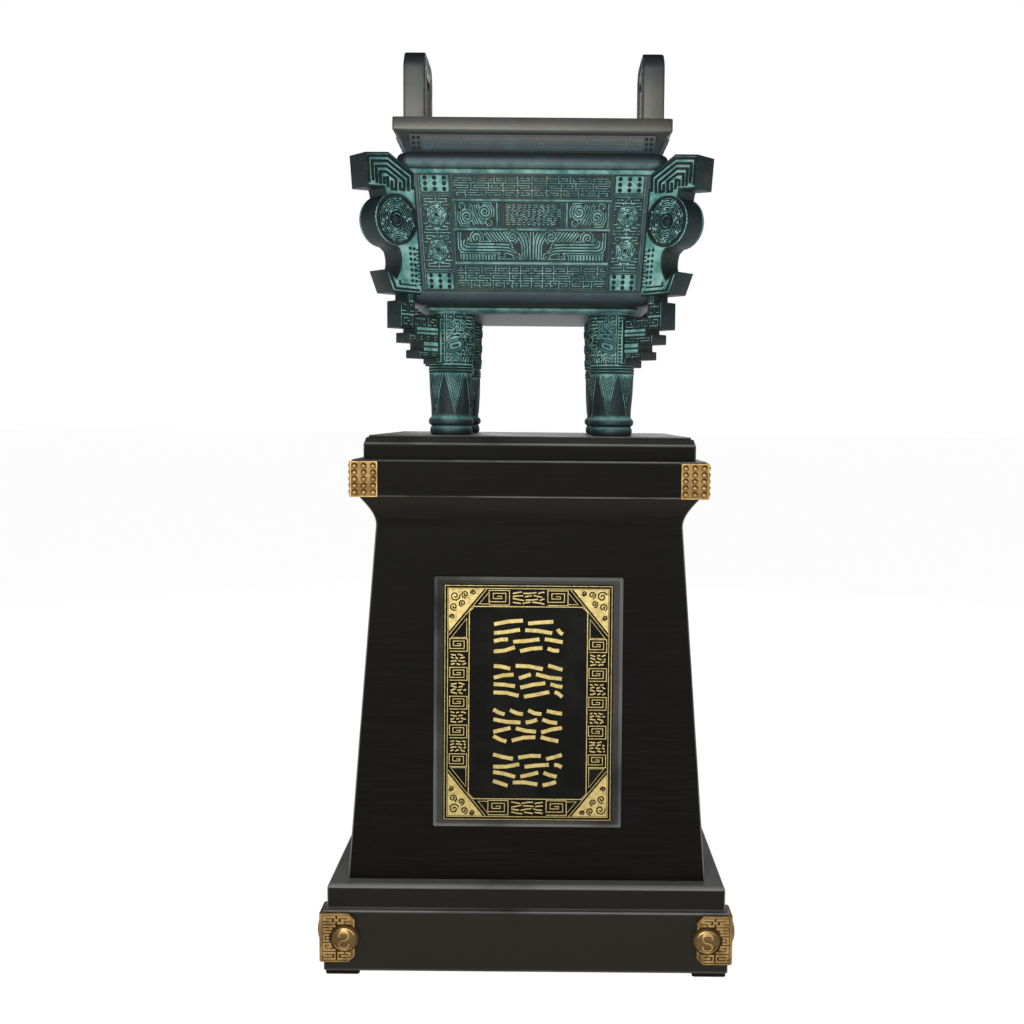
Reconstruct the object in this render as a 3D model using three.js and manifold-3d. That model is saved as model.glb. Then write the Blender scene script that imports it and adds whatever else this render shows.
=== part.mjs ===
// A four-legged bronze ding with corner flanges and upright ears, on a tall tapering black plinth.
// Millimetres, +Z up, front towards -Y, origin on the floor under the middle of the plinth.
import * as THREE from 'three';
import { mergeVertices } from 'three/addons/utils/BufferGeometryUtils.js';
import Module from 'manifold-3d';

const wasm = await Module();
wasm.setup();

// Plinth: heights of its joints above the floor.
const baseBottom = 7.5;
const stepBottom = 119;
const shaftBottom = 164.5;
const neckBottom = 800;
const slabBottom = 852;
const capBottom = 918;
const capTop = 960;

// Plinth: [half width along X, half depth along Y].
const baseHalf = [360, 310];
const stepHalf = [354, 304];
const shaftFootHalf = [321, 278];
const shaftHeadHalf = [273.5, 246];
const neckHeadHalf = [300, 269];
const slabHalf = [311, 277];
const capHalf = [293, 259];
const baseRound = 3;
const stepRound = 8;
const slabRound = 2.5;
const capMould = [4, 8];
const capMouldRise = [4, 10];
const footSize = 60;
const footInset = 3;

// Brass corner plates, each folded over one upright corner.
const upperPlate = { width: 46, thickness: 2.5 };
const lowerPlate = { width: 57, thickness: 5, bottom: 26, top: 116, cut: 12, bossFromCorner: 39 };
const bossRadius = 25.6;
const bossRise = 11;

// Plaque on the sloping front of the shaft.
const plaqueMiddle = 486;
const boardHalf = [168, 224];
const boardThickness = 9;
const boardBevel = 6;
const plateHalf = [150.5, 211.5];
const plateThickness = 2.4;
const sittingGap = 0.3;

// Vessel: half widths along X; every half depth along Y is smaller by depthCut.
const depthCut = 34;
const cornerPoints = 2;
const mouldCorner = 22;
const undersideZ = 1182;
const bodyFoot = { half: 226, z: 1218.5 };
const bodyHead = { half: 242, z: 1423 };
const rimHalf = 247;
const rimBottom = 1495.5;
const rimTop = 1519;
const mouthHalf = 204;
const wall = 12;
const neckFoot = { half: 225.5, z: 1461 };
const roll = { half: 235, z: 1445, out: 7.5, up: 14.5 };
const cavityFloor = 1200;

// Ears: arches standing on the two short ends of the rim.
const ear = { inner: 204.5, outer: 244.5, half: 70, top: 1680, round: 33 };
const earHole = { half: 34, top: 1641, round: 16 };

// Corner flanges of the body: measured along the diagonal from the corner at the body's head.
const bodyFlangeThickness = 46.5;
const disc = { out: 15, z: 1337, radius: 45 };
const discRing = { radius: 33, rise: 2.5 };
const discBoss = { radius: 10, rise: 6 };

// Legs and their stepped flanges, measured along the diagonal from the leg's axis.
const legAt = [150, 150 - depthCut];
const legSides = 12;
const legFlangeThickness = 39;
const legTeeth = [
  { out: 52, bottom: 1089.6, top: 1098.6 },
  { out: 92.5, bottom: 1098.6, top: 1113.8 },
  { out: 83, bottom: 1113.8, top: 1125.5 },
  { out: 115, bottom: 1125.5, top: 1143.5 },
  { out: 99, bottom: 1143.5, top: 1151 },
  { out: 135, bottom: 1151, top: 1199 },
  { out: 117, bottom: 1199, top: 1216 },
];
const tongueInner = 101;
const armTop = 1175;
const eye = { z: 1123.6, turn: 57, size: [15, 7, 11.5], lean: 14 };
const blade = { count: 6, top: 1073, tip: 1004, width: 32, rise: 2.4, depth: 7 };

// Relief on the four sloping faces: heights along the face above its foot, half widths on the long faces.
const relief = 3;
const barWidth = 4;
const bandEdges = [1, 48.5, 108.5, 158.5, 204];
const fieldHalf = { foot: 131.5, head: 143.5 };
const studPitch = 17;
const studRise = 11.2;
const studSize = { radius: 7.5, rise: 5, sides: 4 };
const studBlocks = [{ out: 155.5, up: 15.8 }, { out: 173.5, up: 188.5 }];
const roundelSize = { radius: 22, rise: 4, sides: 9 };
const roundels = [{ out: 162.7, up: 72.5 }, { out: 168.6, up: 132.8 }];
const scrolls = [
  { out: 38, up: 81, radius: 22, width: 8, from: 30, sweep: 270 },
  { out: 97, up: 80, radius: 21, width: 7, from: -60, sweep: 270 },
];
const noseRidge = { half: 6, bottom: 54, top: 107 };
const tablet = { half: 62, halfHeight: 21, up: 133.5 };

const bronze = new THREE.MeshStandardMaterial({ color: 0x4c6259, roughness: 0.55, metalness: 0.75 });
const lacquer = new THREE.MeshStandardMaterial({ color: 0x15161a, roughness: 0.35, metalness: 0.0 });
const brass = new THREE.MeshStandardMaterial({ color: 0x8a6a35, roughness: 0.4, metalness: 0.9 });
const boardBlack = new THREE.MeshStandardMaterial({ color: 0x101013, roughness: 0.3, metalness: 0.0 });
const goldOnBlack = new THREE.MeshStandardMaterial({ color: 0x2a2113, roughness: 0.4, metalness: 0.3 });

const degrees = Math.PI / 180;
const corners = [[-1, -1, 'front_left'], [1, -1, 'front_right'], [-1, 1, 'back_left'], [1, 1, 'back_right']];

// A closed geometry as a solid that can be joined and cut.
function solid(geometry) {
  const bare = new THREE.BufferGeometry();
  bare.setAttribute('position', geometry.attributes.position.clone());
  if (geometry.index) bare.setIndex(geometry.index.clone());
  const merged = mergeVertices(bare, 1e-3);
  const index = merged.index.array;
  const triangles = [];
  for (let i = 0; i < index.length; i += 3) {
    const [a, b, c] = [index[i], index[i + 1], index[i + 2]];
    if (a !== b && b !== c && c !== a) triangles.push(a, b, c);
  }
  return new wasm.Manifold(new wasm.Mesh({
    numProp: 3,
    vertProperties: Float32Array.from(merged.attributes.position.array),
    triVerts: Uint32Array.from(triangles),
  }));
}

function join(solids) {
  return solids.reduce((whole, next) => whole.add(next));
}

function geometryOf(manifold) {
  const { vertProperties, triVerts } = manifold.getMesh();
  const geometry = new THREE.BufferGeometry();
  geometry.setAttribute('position', new THREE.BufferAttribute(Float32Array.from(vertProperties), 3));
  geometry.setIndex(new THREE.BufferAttribute(Uint32Array.from(triVerts), 1));
  return geometry;
}

function named(name, geometry, material) {
  const mesh = new THREE.Mesh(geometry, material);
  mesh.name = name;
  return mesh;
}

// A block of rectangular section whose size changes with height.
// Each level is [half width, half depth, height], from the lowest to the highest.
function mouldedBlock(levels) {
  const rows = levels.length - 1;
  const geometry = new THREE.BoxGeometry(2, 2, rows, 1, 1, rows);
  const position = geometry.attributes.position;
  for (let i = 0; i < position.count; i += 1) {
    const [halfX, halfY, z] = levels[Math.round(position.getZ(i) + rows / 2)];
    position.setXYZ(i, position.getX(i) * halfX, position.getY(i) * halfY, z);
  }
  return geometry;
}

// The same block with rounded upright corners: each level also ends with a corner radius.
function roundedBlock(levels) {
  const rows = levels.length - 1;
  const geometry = new THREE.CylinderGeometry(1, 1, rows, 4 * cornerPoints, rows)
    .rotateX(Math.PI / 2)
    .rotateZ(Math.PI / (4 * cornerPoints));
  const position = geometry.attributes.position;
  for (let i = 0; i < position.count; i += 1) {
    const [x, y] = [position.getX(i), position.getY(i)];
    const [halfX, halfY, z, radius] = levels[Math.round(position.getZ(i) + rows / 2)];
    if (Math.hypot(x, y) < 0.5) {
      position.setXYZ(i, 0, 0, z);
      continue;
    }
    const around = (Math.atan2(y, x) + 2 * Math.PI) % (2 * Math.PI);
    const step = Math.floor(around / (Math.PI / (2 * cornerPoints)));
    const quarter = Math.floor(step / cornerPoints);
    const turn = (quarter + (step % cornerPoints) / (cornerPoints - 1)) * Math.PI / 2;
    position.setXYZ(
      i,
      Math.sign(x) * (halfX - radius) + radius * Math.cos(turn),
      Math.sign(y) * (halfY - radius) + radius * Math.sin(turn),
      z,
    );
  }
  return geometry;
}

// Rows of a round moulding as [half width, height]; 0 degrees points out and 90 points up.
function roundRows(half, z, out, up, from, to, steps) {
  const rows = [];
  for (let i = 0; i <= steps; i += 1) {
    const angle = (from + (to - from) * i / steps) * degrees;
    rows.push([half + out * Math.cos(angle), z + up * Math.sin(angle)]);
  }
  return rows;
}

// An outline drawn as (out, height), extruded to a plate that is centred on Y = 0.
function uprightPlate(shape, thickness, curveSegments) {
  const geometry = new THREE.ExtrudeGeometry(shape, { depth: thickness, bevelEnabled: false, curveSegments });
  return geometry.rotateX(Math.PI / 2).translate(0, thickness / 2, 0);
}

// A full turn of a profile of [radius, height] points about a vertical axis.
function turned(profile, sides) {
  const points = profile.map(([radius, z]) => new THREE.Vector2(radius, z));
  return new THREE.LatheGeometry(points, sides).rotateX(Math.PI / 2);
}

function shellLevels(rows) {
  return rows.map(([half, z, corner]) => [half, half - depthCut, z, corner ?? mouldCorner]);
}

// Outer form of the body: bead, ovolo, sloping faces, fillet, bullnose, flaring neck and rim.
function bodyOutside() {
  return roundedBlock(shellLevels([
    ...roundRows(172, 1193, 25, 1193 - undersideZ, -90, 0, 3),
    [195, 1195],
    ...roundRows(203, 1216.5, 27, 20, -90, 0, 4),
    [bodyFoot.half, bodyFoot.z],
    [bodyHead.half, bodyHead.z],
    [242.5, 1424.5],
    [241, 1430],
    ...roundRows(roll.half, roll.z, roll.out, roll.up, -80, 80, 4),
    [neckFoot.half, neckFoot.z, 0],
    [228, 1474, 0],
    [234.5, 1486, 0],
    [244, 1494, 0],
    [rimHalf, rimBottom, 0],
    [rimHalf, rimTop - 2, 0],
    [rimHalf - 2, rimTop, 0],
  ]));
}

function bodyInside() {
  return mouldedBlock(shellLevels([
    [bodyFoot.half - wall - 2, cavityFloor],
    [bodyHead.half - wall, bodyHead.z],
    [neckFoot.half - wall, neckFoot.z],
    [mouthHalf, rimBottom],
    [mouthHalf, rimTop + 20],
  ]));
}

function earArch(side) {
  const outline = new THREE.Shape();
  outline.moveTo(-ear.half, rimTop - 4);
  outline.lineTo(ear.half, rimTop - 4);
  outline.absarc(ear.half - ear.round, ear.top - ear.round, ear.round, 0, Math.PI / 2, false);
  outline.absarc(-ear.half + ear.round, ear.top - ear.round, ear.round, Math.PI / 2, Math.PI, false);
  const hole = new THREE.Path();
  const holeCorner = [earHole.half - earHole.round, earHole.top - earHole.round];
  hole.moveTo(-earHole.half, rimTop);
  hole.lineTo(earHole.half, rimTop);
  hole.absarc(holeCorner[0], holeCorner[1], earHole.round, 0, Math.PI / 2, false);
  hole.absarc(-holeCorner[0], holeCorner[1], earHole.round, Math.PI / 2, Math.PI, false);
  outline.holes.push(hole);
  return uprightPlate(outline, ear.outer - ear.inner, 4)
    .rotateZ(Math.PI / 2)
    .translate(side * (ear.inner + ear.outer) / 2, 0, 0);
}

// One body flange in its own plane: hooked block, disc, hollow cut and lower hook.
function bodyFlangeOutline() {
  const outline = new THREE.Shape();
  outline.moveTo(-45, 1211);
  outline.lineTo(24, 1211);
  outline.lineTo(41, 1249);
  outline.lineTo(28, 1246);
  outline.lineTo(16, 1237);
  outline.quadraticCurveTo(-3, 1264, 13, 1292);
  outline.absarc(disc.out, disc.z, disc.radius, -85 * degrees, 58 * degrees, false);
  outline.lineTo(42, 1388);
  outline.lineTo(77, 1385.5);
  outline.lineTo(82, 1442);
  outline.lineTo(32, 1450);
  outline.lineTo(-25, 1422);
  outline.lineTo(-60, 1415);
  return outline;
}

function discCarving() {
  const rest = bodyFlangeThickness / 2;
  const raised = turned([
    [0, -rest - discRing.rise],
    [discRing.radius, -rest - discRing.rise],
    [discRing.radius, rest + discRing.rise],
    [0, rest + discRing.rise],
  ], 10);
  const bossProfile = rest + discRing.rise + discBoss.rise;
  const boss = turned([
    [0, -bossProfile],
    [discBoss.radius * 0.6, -bossProfile],
    [discBoss.radius, -rest],
    [discBoss.radius, rest],
    [discBoss.radius * 0.6, bossProfile],
    [0, bossProfile],
  ], 6);
  return [raised, boss].map((geometry) => geometry.rotateX(Math.PI / 2).translate(disc.out, 0, disc.z));
}

function legFlangeOutline() {
  const outline = new THREE.Shape();
  outline.moveTo(0, legTeeth[0].bottom);
  for (const tooth of legTeeth) {
    outline.lineTo(tooth.out, tooth.bottom);
    outline.lineTo(tooth.out, tooth.top);
  }
  outline.lineTo(tongueInner, legTeeth.at(-1).top);
  outline.lineTo(tongueInner, armTop);
  outline.lineTo(0, armTop);
  return outline;
}

function legColumn() {
  return turned([
    [0, capTop], [38, capTop], [41.4, capTop + 3], [41.4, capTop + 15], [38, capTop + 17],
    [39.6, capTop + 18.5], [39.6, capTop + 31.5], [37, capTop + 33.5],
    [39.6, 1073], [42.4, 1075], [42.4, 1086], [40.4, 1088],
    [43.5, undersideZ + 4], [0, undersideZ + 4],
  ], legSides);
}

// Mask bosses on the leg, either side of its flange, turned from the flange about the leg's axis.
function legCarving() {
  const pieces = [];
  for (const side of [-1, 1]) {
    const [length, depth, height] = eye.size;
    pieces.push(new THREE.SphereGeometry(1, 8, 5).scale(depth, length, height)
      .rotateX(side * eye.lean * degrees).translate(41, 0, eye.z).rotateZ(side * eye.turn * degrees));
  }
  for (let i = 0; i < blade.count; i += 1) {
    const leaf = new THREE.Shape();
    leaf.moveTo(-blade.width / 2, blade.top);
    leaf.lineTo(0, blade.tip);
    leaf.lineTo(blade.width / 2, blade.top);
    pieces.push(uprightPlate(leaf, blade.depth, 1).rotateZ(Math.PI / 2)
      .translate(39.4 + blade.rise - blade.depth / 2, 0, 0)
      .rotateZ((i + 0.5) * 2 * Math.PI / blade.count));
  }
  return pieces;
}

// Frame of one sloping face: X along the face, Y up the slope from the face's foot, Z outwards.
function faceFrame(turn, half) {
  const lean = Math.atan2(bodyHead.half - bodyFoot.half, bodyHead.z - bodyFoot.z);
  return new THREE.Matrix4()
    .makeRotationZ(turn)
    .multiply(new THREE.Matrix4().makeTranslation(0, -half, bodyFoot.z))
    .multiply(new THREE.Matrix4().makeRotationX(Math.PI / 2 + lean));
}

function bar(from, to, width) {
  const run = new THREE.Vector2(to[0] - from[0], to[1] - from[1]);
  return new THREE.BoxGeometry(run.length(), width, relief + 4)
    .rotateZ(run.angle())
    .translate((from[0] + to[0]) / 2, (from[1] + to[1]) / 2, relief / 2 - 2);
}

function scrollStroke({ radius, width, from, sweep }) {
  const start = from * degrees;
  const end = (from + sweep) * degrees;
  const stroke = new THREE.Shape();
  stroke.absarc(0, 0, radius, start, end, false);
  stroke.absarc(0, 0, radius - width, end, start, true);
  return new THREE.ExtrudeGeometry(stroke, { depth: relief + 2, bevelEnabled: false, curveSegments: 4 })
    .translate(0, 0, -1);
}

// Carving of one face; trim is taken off every half width, so the short faces keep the same border.
function faceCarving(trim) {
  const pieces = [];
  const half = (up) => THREE.MathUtils.lerp(fieldHalf.foot, fieldHalf.head, up / bandEdges.at(-1)) - trim;
  const [first, last] = [bandEdges[0], bandEdges.at(-1)];
  for (const up of bandEdges) {
    pieces.push(bar([-half(up), up + barWidth / 2], [half(up), up + barWidth / 2], barWidth));
  }
  for (const side of [-1, 1]) {
    pieces.push(bar([side * half(first), first], [side * half(last), last + barWidth], barWidth));
    for (const { out, up } of studBlocks) {
      for (const across of [-1, 0, 1]) {
        for (const along of [-1, 0, 1]) {
          pieces.push(new THREE.ConeGeometry(studSize.radius, studSize.rise + 1, studSize.sides)
            .rotateX(Math.PI / 2)
            .translate(side * (out - trim + across * studPitch), up + along * studRise, studSize.rise / 2));
        }
      }
    }
    for (const { out, up } of roundels) {
      const { radius, rise, sides } = roundelSize;
      pieces.push(new THREE.CylinderGeometry(radius - 2, radius, rise + 1, sides)
        .rotateX(Math.PI / 2)
        .translate(side * (out - trim), up, rise / 2));
    }
  }
  return pieces;
}

// The long faces also have a mask with curling horns round a nose ridge, and a plain tablet above it.
function maskCarving() {
  const pieces = [
    new THREE.BoxGeometry(2 * noseRidge.half, noseRidge.top - noseRidge.bottom, relief + 6)
      .translate(0, (noseRidge.top + noseRidge.bottom) / 2, relief / 2),
    new THREE.BoxGeometry(2 * tablet.half, 2 * tablet.halfHeight, relief + 2)
      .translate(0, tablet.up, relief / 2 - 1.2),
  ];
  for (const scroll of scrolls) {
    for (const side of [-1, 1]) {
      const stroke = scrollStroke(scroll);
      if (side < 0) stroke.rotateY(Math.PI).translate(0, 0, relief);
      pieces.push(stroke.translate(side * scroll.out, scroll.up, 0));
    }
  }
  return pieces;
}

function vessel() {
  const pieces = [solid(bodyOutside()).subtract(solid(bodyInside()))];
  for (const side of [-1, 1]) pieces.push(solid(earArch(side)));
  const cornerAt = [bodyHead.half, bodyHead.half - depthCut];
  for (const [sideX, sideY] of corners) {
    const turn = Math.atan2(sideY, sideX);
    const placed = (geometry, [x, y]) => solid(geometry.rotateZ(turn).translate(sideX * x, sideY * y, 0));
    const flange = [uprightPlate(bodyFlangeOutline(), bodyFlangeThickness, 6), ...discCarving()];
    pieces.push(...flange.map((geometry) => placed(geometry, cornerAt).subtract(solid(bodyInside()))));
    const leg = [legColumn(), uprightPlate(legFlangeOutline(), legFlangeThickness, 1), ...legCarving()];
    pieces.push(...leg.map((geometry) => placed(geometry, legAt)));
  }
  for (let face = 0; face < 4; face += 1) {
    const long = face % 2 === 0;
    const frame = faceFrame(face * Math.PI / 2, bodyFoot.half - (long ? depthCut : 0));
    const carving = long ? [...faceCarving(0), ...maskCarving()] : faceCarving(depthCut);
    pieces.push(...carving.map((geometry) => solid(geometry.applyMatrix4(frame))));
  }
  return named('ding_vessel', geometryOf(join(pieces)), bronze);
}

function plinthPieces() {
  const inset = ([x, y], by) => [x - by, y - by];
  const step = roundRows(0, shaftBottom - stepRound, stepRound, stepRound, 0, 90, 4)
    .map(([out, z]) => [...inset(stepHalf, stepRound - out), z]);
  const neckRows = [0, 0.25, 0.5, 0.75, 1].map((t) => {
    const flare = 1 - Math.cos(t * Math.PI / 2);
    return [
      THREE.MathUtils.lerp(shaftHeadHalf[0], neckHeadHalf[0], flare),
      THREE.MathUtils.lerp(shaftHeadHalf[1], neckHeadHalf[1], flare),
      THREE.MathUtils.lerp(neckBottom, slabBottom, t),
    ];
  });
  const blocks = {
    plinth_base: [
      [...baseHalf, baseBottom],
      [...baseHalf, stepBottom - baseRound],
      [...inset(baseHalf, baseRound), stepBottom],
    ],
    plinth_step: [[...stepHalf, stepBottom], ...step],
    plinth_shaft: [[...shaftFootHalf, shaftBottom], [...shaftHeadHalf, neckBottom]],
    plinth_neck: neckRows,
    plinth_slab: [
      [...slabHalf, slabBottom],
      [...slabHalf, capBottom - slabRound],
      [...inset(slabHalf, slabRound), capBottom],
    ],
    plinth_cap: [
      [...capHalf, capBottom],
      [...capHalf, capTop - capMouldRise[0] - capMouldRise[1]],
      [...inset(capHalf, capMould[0]), capTop - capMouldRise[0]],
      [...inset(capHalf, capMould[1]), capTop - capMouldRise[0]],
      [...inset(capHalf, capMould[1]), capTop],
    ],
  };
  const meshes = Object.entries(blocks).map(([name, levels]) => named(name, mouldedBlock(levels), lacquer));
  for (const [sideX, sideY, place] of corners) {
    const foot = new THREE.BoxGeometry(footSize, footSize, baseBottom).translate(
      sideX * (baseHalf[0] - footInset - footSize / 2),
      sideY * (baseHalf[1] - footInset - footSize / 2),
      baseBottom / 2,
    );
    meshes.push(named(`plinth_foot_${place}`, foot, lacquer));
  }
  return meshes;
}

// A folded plate in plan: its two leaves lie on the two faces that meet at a corner.
function cornerPlan(half, sideX, sideY, { width, thickness }) {
  const [x, y] = half;
  const points = [
    [x, y], [x, y - width], [x + thickness, y - width], [x + thickness, y + thickness],
    [x - width, y + thickness], [x - width, y],
  ].map(([px, py]) => new THREE.Vector2(sideX * px, sideY * py));
  return new THREE.Shape(points);
}

function upperCornerPlates() {
  return corners.map(([sideX, sideY, place]) => {
    const height = capBottom - slabRound - slabBottom;
    const plate = new THREE.ExtrudeGeometry(cornerPlan(slabHalf, sideX, sideY, upperPlate), {
      depth: height, bevelEnabled: false,
    }).translate(0, 0, slabBottom);
    return named(`brass_studded_corner_${place}`, plate, brass);
  });
}

// Lower corner plates: the inner corners of each leaf are cut off and each leaf has a domed boss.
function lowerCornerPlates() {
  const { width, thickness, bottom, top, cut, bossFromCorner } = lowerPlate;
  return corners.map(([sideX, sideY, place]) => {
    const plan = cornerPlan(baseHalf, sideX, sideY, lowerPlate);
    let plate = solid(new THREE.ExtrudeGeometry(plan, { depth: top - bottom, bevelEnabled: false })
      .translate(0, 0, bottom));
    const middleZ = (bottom + top) / 2;
    const [x, y] = baseHalf;
    const domes = [
      { at: [x - bossFromCorner, y + thickness, middleZ], axis: 'y' },
      { at: [x + thickness, y - bossFromCorner, middleZ], axis: 'x' },
    ];
    for (const { at, axis } of domes) {
      const scale = axis === 'y' ? [1, bossRise / bossRadius, 1] : [bossRise / bossRadius, 1, 1];
      const dome = new THREE.SphereGeometry(bossRadius, 10, 6).rotateX(Math.PI / 2);
      if (axis === 'x') dome.rotateY(Math.PI / 2);
      else dome.rotateX(Math.PI / 2);
      dome.scale(...scale).translate(sideX * at[0], sideY * at[1], at[2]);
      plate = plate.add(solid(dome));
    }
    for (const end of [bottom, top]) {
      const wedge = new THREE.CylinderGeometry(cut, cut, 3 * bossRise, 4);
      plate = plate
        .subtract(solid(wedge.clone().translate(sideX * (x - width), sideY * y, end)))
        .subtract(solid(wedge.clone().rotateZ(Math.PI / 2).translate(sideX * x, sideY * (y - width), end)));
    }
    const inside = new THREE.BoxGeometry(2 * x, 2 * y, 4 * width).translate(0, 0, middleZ);
    return named(`brass_boss_corner_${place}`, geometryOf(plate.subtract(solid(inside))), brass);
  });
}

// Board and plate lie on the sloping front of the shaft, a hair's breadth clear of each other.
function plaque() {
  const lean = Math.atan2(shaftFootHalf[1] - shaftHeadHalf[1], neckBottom - shaftBottom);
  const up = (plaqueMiddle - shaftBottom) / (neckBottom - shaftBottom);
  const group = new THREE.Group();
  group.position.set(0, -THREE.MathUtils.lerp(shaftFootHalf[1], shaftHeadHalf[1], up), plaqueMiddle);
  group.rotation.x = Math.PI / 2 - lean;
  const board = named('plaque_board', mouldedBlock([
    [...boardHalf, sittingGap],
    [...boardHalf, boardThickness - boardBevel],
    [boardHalf[0] - boardBevel, boardHalf[1] - boardBevel, boardThickness],
  ]), boardBlack);
  const plateBottom = boardThickness + sittingGap;
  const plate = named('plaque_plate', mouldedBlock([
    [...plateHalf, plateBottom],
    [...plateHalf, plateBottom + plateThickness - 1],
    [plateHalf[0] - 1, plateHalf[1] - 1, plateBottom + plateThickness],
  ]), goldOnBlack);
  group.add(board, plate);
  return group;
}

const ding = new THREE.Group();
ding.add(vessel(), ...plinthPieces(), ...upperCornerPlates(), ...lowerCornerPlates(), plaque());

export default ding;
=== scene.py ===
import itertools
import math
import random

import bmesh
import bpy
from mathutils import Matrix, Vector


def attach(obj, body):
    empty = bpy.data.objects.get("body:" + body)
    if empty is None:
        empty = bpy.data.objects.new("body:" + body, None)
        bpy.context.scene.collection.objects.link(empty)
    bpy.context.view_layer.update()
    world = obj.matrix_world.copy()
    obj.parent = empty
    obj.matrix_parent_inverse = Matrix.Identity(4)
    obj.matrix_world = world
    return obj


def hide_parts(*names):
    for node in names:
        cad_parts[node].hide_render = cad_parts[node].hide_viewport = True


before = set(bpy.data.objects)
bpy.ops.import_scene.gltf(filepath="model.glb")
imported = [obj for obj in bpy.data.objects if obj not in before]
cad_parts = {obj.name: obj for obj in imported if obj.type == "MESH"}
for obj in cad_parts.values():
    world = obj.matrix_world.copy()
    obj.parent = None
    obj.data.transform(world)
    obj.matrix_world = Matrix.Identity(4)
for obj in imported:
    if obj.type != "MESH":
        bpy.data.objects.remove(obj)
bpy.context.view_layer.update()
mm = 0.001  # every size below is in millimetres
print("frame loaded, nodes:", len(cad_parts))


# shader helpers

def addNode(tree, kind, inputs=None, **settings):
    item = tree.nodes.new(kind)
    for name, value in settings.items():
        setattr(item, name, value)
    for name, value in (inputs or {}).items():
        if isinstance(value, bpy.types.NodeSocket):
            tree.links.new(value, item.inputs[name])
        else:
            item.inputs[name].default_value = value
    return item


def mixColour(tree, factor, first, second):
    return addNode(tree, "ShaderNodeMix", {0: factor, 6: first, 7: second}, data_type="RGBA").outputs[2]


def mixValue(tree, factor, first, second):
    return addNode(tree, "ShaderNodeMix", {0: factor, 2: first, 3: second}).outputs[0]


def spread(tree, value, low, high):
    # stretches low..high to 0..1, smoothly
    item = addNode(tree, "ShaderNodeMapRange", {"Value": value, "From Min": low, "From Max": high},
                   interpolation_type="SMOOTHSTEP")
    return item.outputs["Result"]


def multiply(tree, first, second):
    return addNode(tree, "ShaderNodeMath", {0: first, 1: second}, operation="MULTIPLY").outputs[0]


def noise(tree, where, scale, detail=4.0, rough=0.55):
    item = addNode(tree, "ShaderNodeTexNoise", {"Vector": where, "Scale": scale, "Detail": detail,
                                                "Roughness": rough})
    return item.outputs["Fac"]


def objectPlace(tree, scale=(1, 1, 1)):
    at = addNode(tree, "ShaderNodeTexCoord").outputs["Object"]
    return addNode(tree, "ShaderNodeMapping", {"Vector": at, "Scale": scale}).outputs["Vector"]


def attribute(tree, name):
    return addNode(tree, "ShaderNodeAttribute", attribute_name=name).outputs["Fac"]


def newFinish(name):
    finish = bpy.data.materials.new(name)
    finish.use_nodes = True
    tree = finish.node_tree
    return finish, tree, tree.nodes["Principled BSDF"]


def link(tree, surface, **sockets):
    # sets each socket to a value, or joins it to another node
    for name, value in sockets.items():
        socket = surface.inputs[name.replace("_", " ")]
        if isinstance(value, bpy.types.NodeSocket):
            tree.links.new(value, socket)
        else:
            socket.default_value = value


def bump(tree, height, strength, distance):
    item = addNode(tree, "ShaderNodeBump", {"Height": height, "Strength": strength, "Distance": distance})
    return item.outputs["Normal"]


patina = {
    "paleTeal": (0.26, 0.51, 0.46, 1),
    "deepTeal": (0.05, 0.19, 0.175, 1),
    "darkTop": (0.009, 0.018, 0.019, 1),
    "brownTop": (0.030, 0.030, 0.024, 1),
    "worn": (0.150, 0.145, 0.125, 1),
    # dark worn metal with a painted bluish reflection on it
    "wornWithBlueReflection": (0.052, 0.066, 0.076, 1),
    # painted dark reflection for the ear tops, standing for the dark space overhead
    "paintedDarkReflection": (0.034, 0.044, 0.062, 1),
}


def bronzeFinish():
    # relief 0 is the patina in the hollows and 1 the dark tops, polish 1 is metal worn smooth, coloured by
    # height with painted reflections
    finish, tree, surface = newFinish("patinated_bronze")
    at = objectPlace(tree)
    cloud = noise(tree, at, 11, 5)
    speck = noise(tree, at, 160, 6, 0.7)
    blotch = noise(tree, at, 34, 5, 0.65)
    relief = spread(tree, attribute(tree, "relief"), 0.12, 0.8)
    polishAndSheen = attribute(tree, "polishAndSheen")
    ground = mixColour(tree, spread(tree, blotch, 0.32, 0.66), patina["deepTeal"], patina["paleTeal"])
    tops = mixColour(tree, spread(tree, cloud, 0.45, 0.72), patina["darkTop"], patina["brownTop"])
    tops = mixColour(tree, multiply(tree, spread(tree, speck, 0.52, 0.78), 0.4), tops, patina["deepTeal"])
    carved = mixColour(tree, relief, ground, tops)
    # rubbed metal is coloured by height: dark bluish below the rim with a painted blue reflection, brown-grey
    # on the rim and the ears' feet, and darker on the ear tops as a painted dark reflection of the space
    # overhead
    height = addNode(tree, "ShaderNodeSeparateXYZ", {0: at}).outputs["Z"]
    rubbed = mixColour(tree, spread(tree, height, 1.466, 1.5), patina["wornWithBlueReflection"], patina["worn"])
    rubbed = mixColour(tree, spread(tree, height, 1.6, 1.69), rubbed, patina["paintedDarkReflection"])
    rubbed = mixColour(tree, multiply(tree, spread(tree, cloud, 0.4, 0.75), 0.45), rubbed, patina["wornWithBlueReflection"])
    rubbed = mixColour(tree, multiply(tree, spread(tree, blotch, 0.5, 0.8), 0.3), rubbed, patina["deepTeal"])
    colour = mixColour(tree, polishAndSheen, carved, rubbed)
    metal = mixValue(tree, polishAndSheen, mixValue(tree, relief, 0.0, 0.15), 0.75)
    gloss = mixValue(tree, polishAndSheen, mixValue(tree, relief, 0.75, 0.4), 0.34)
    gloss = mixValue(tree, multiply(tree, speck, 0.35), gloss, 0.8)
    link(tree, surface, Base_Color=colour, Metallic=metal, Roughness=gloss, Specular_IOR_Level=0.16,
         Normal=bump(tree, speck, 0.35, 0.0006))
    return finish


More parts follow.
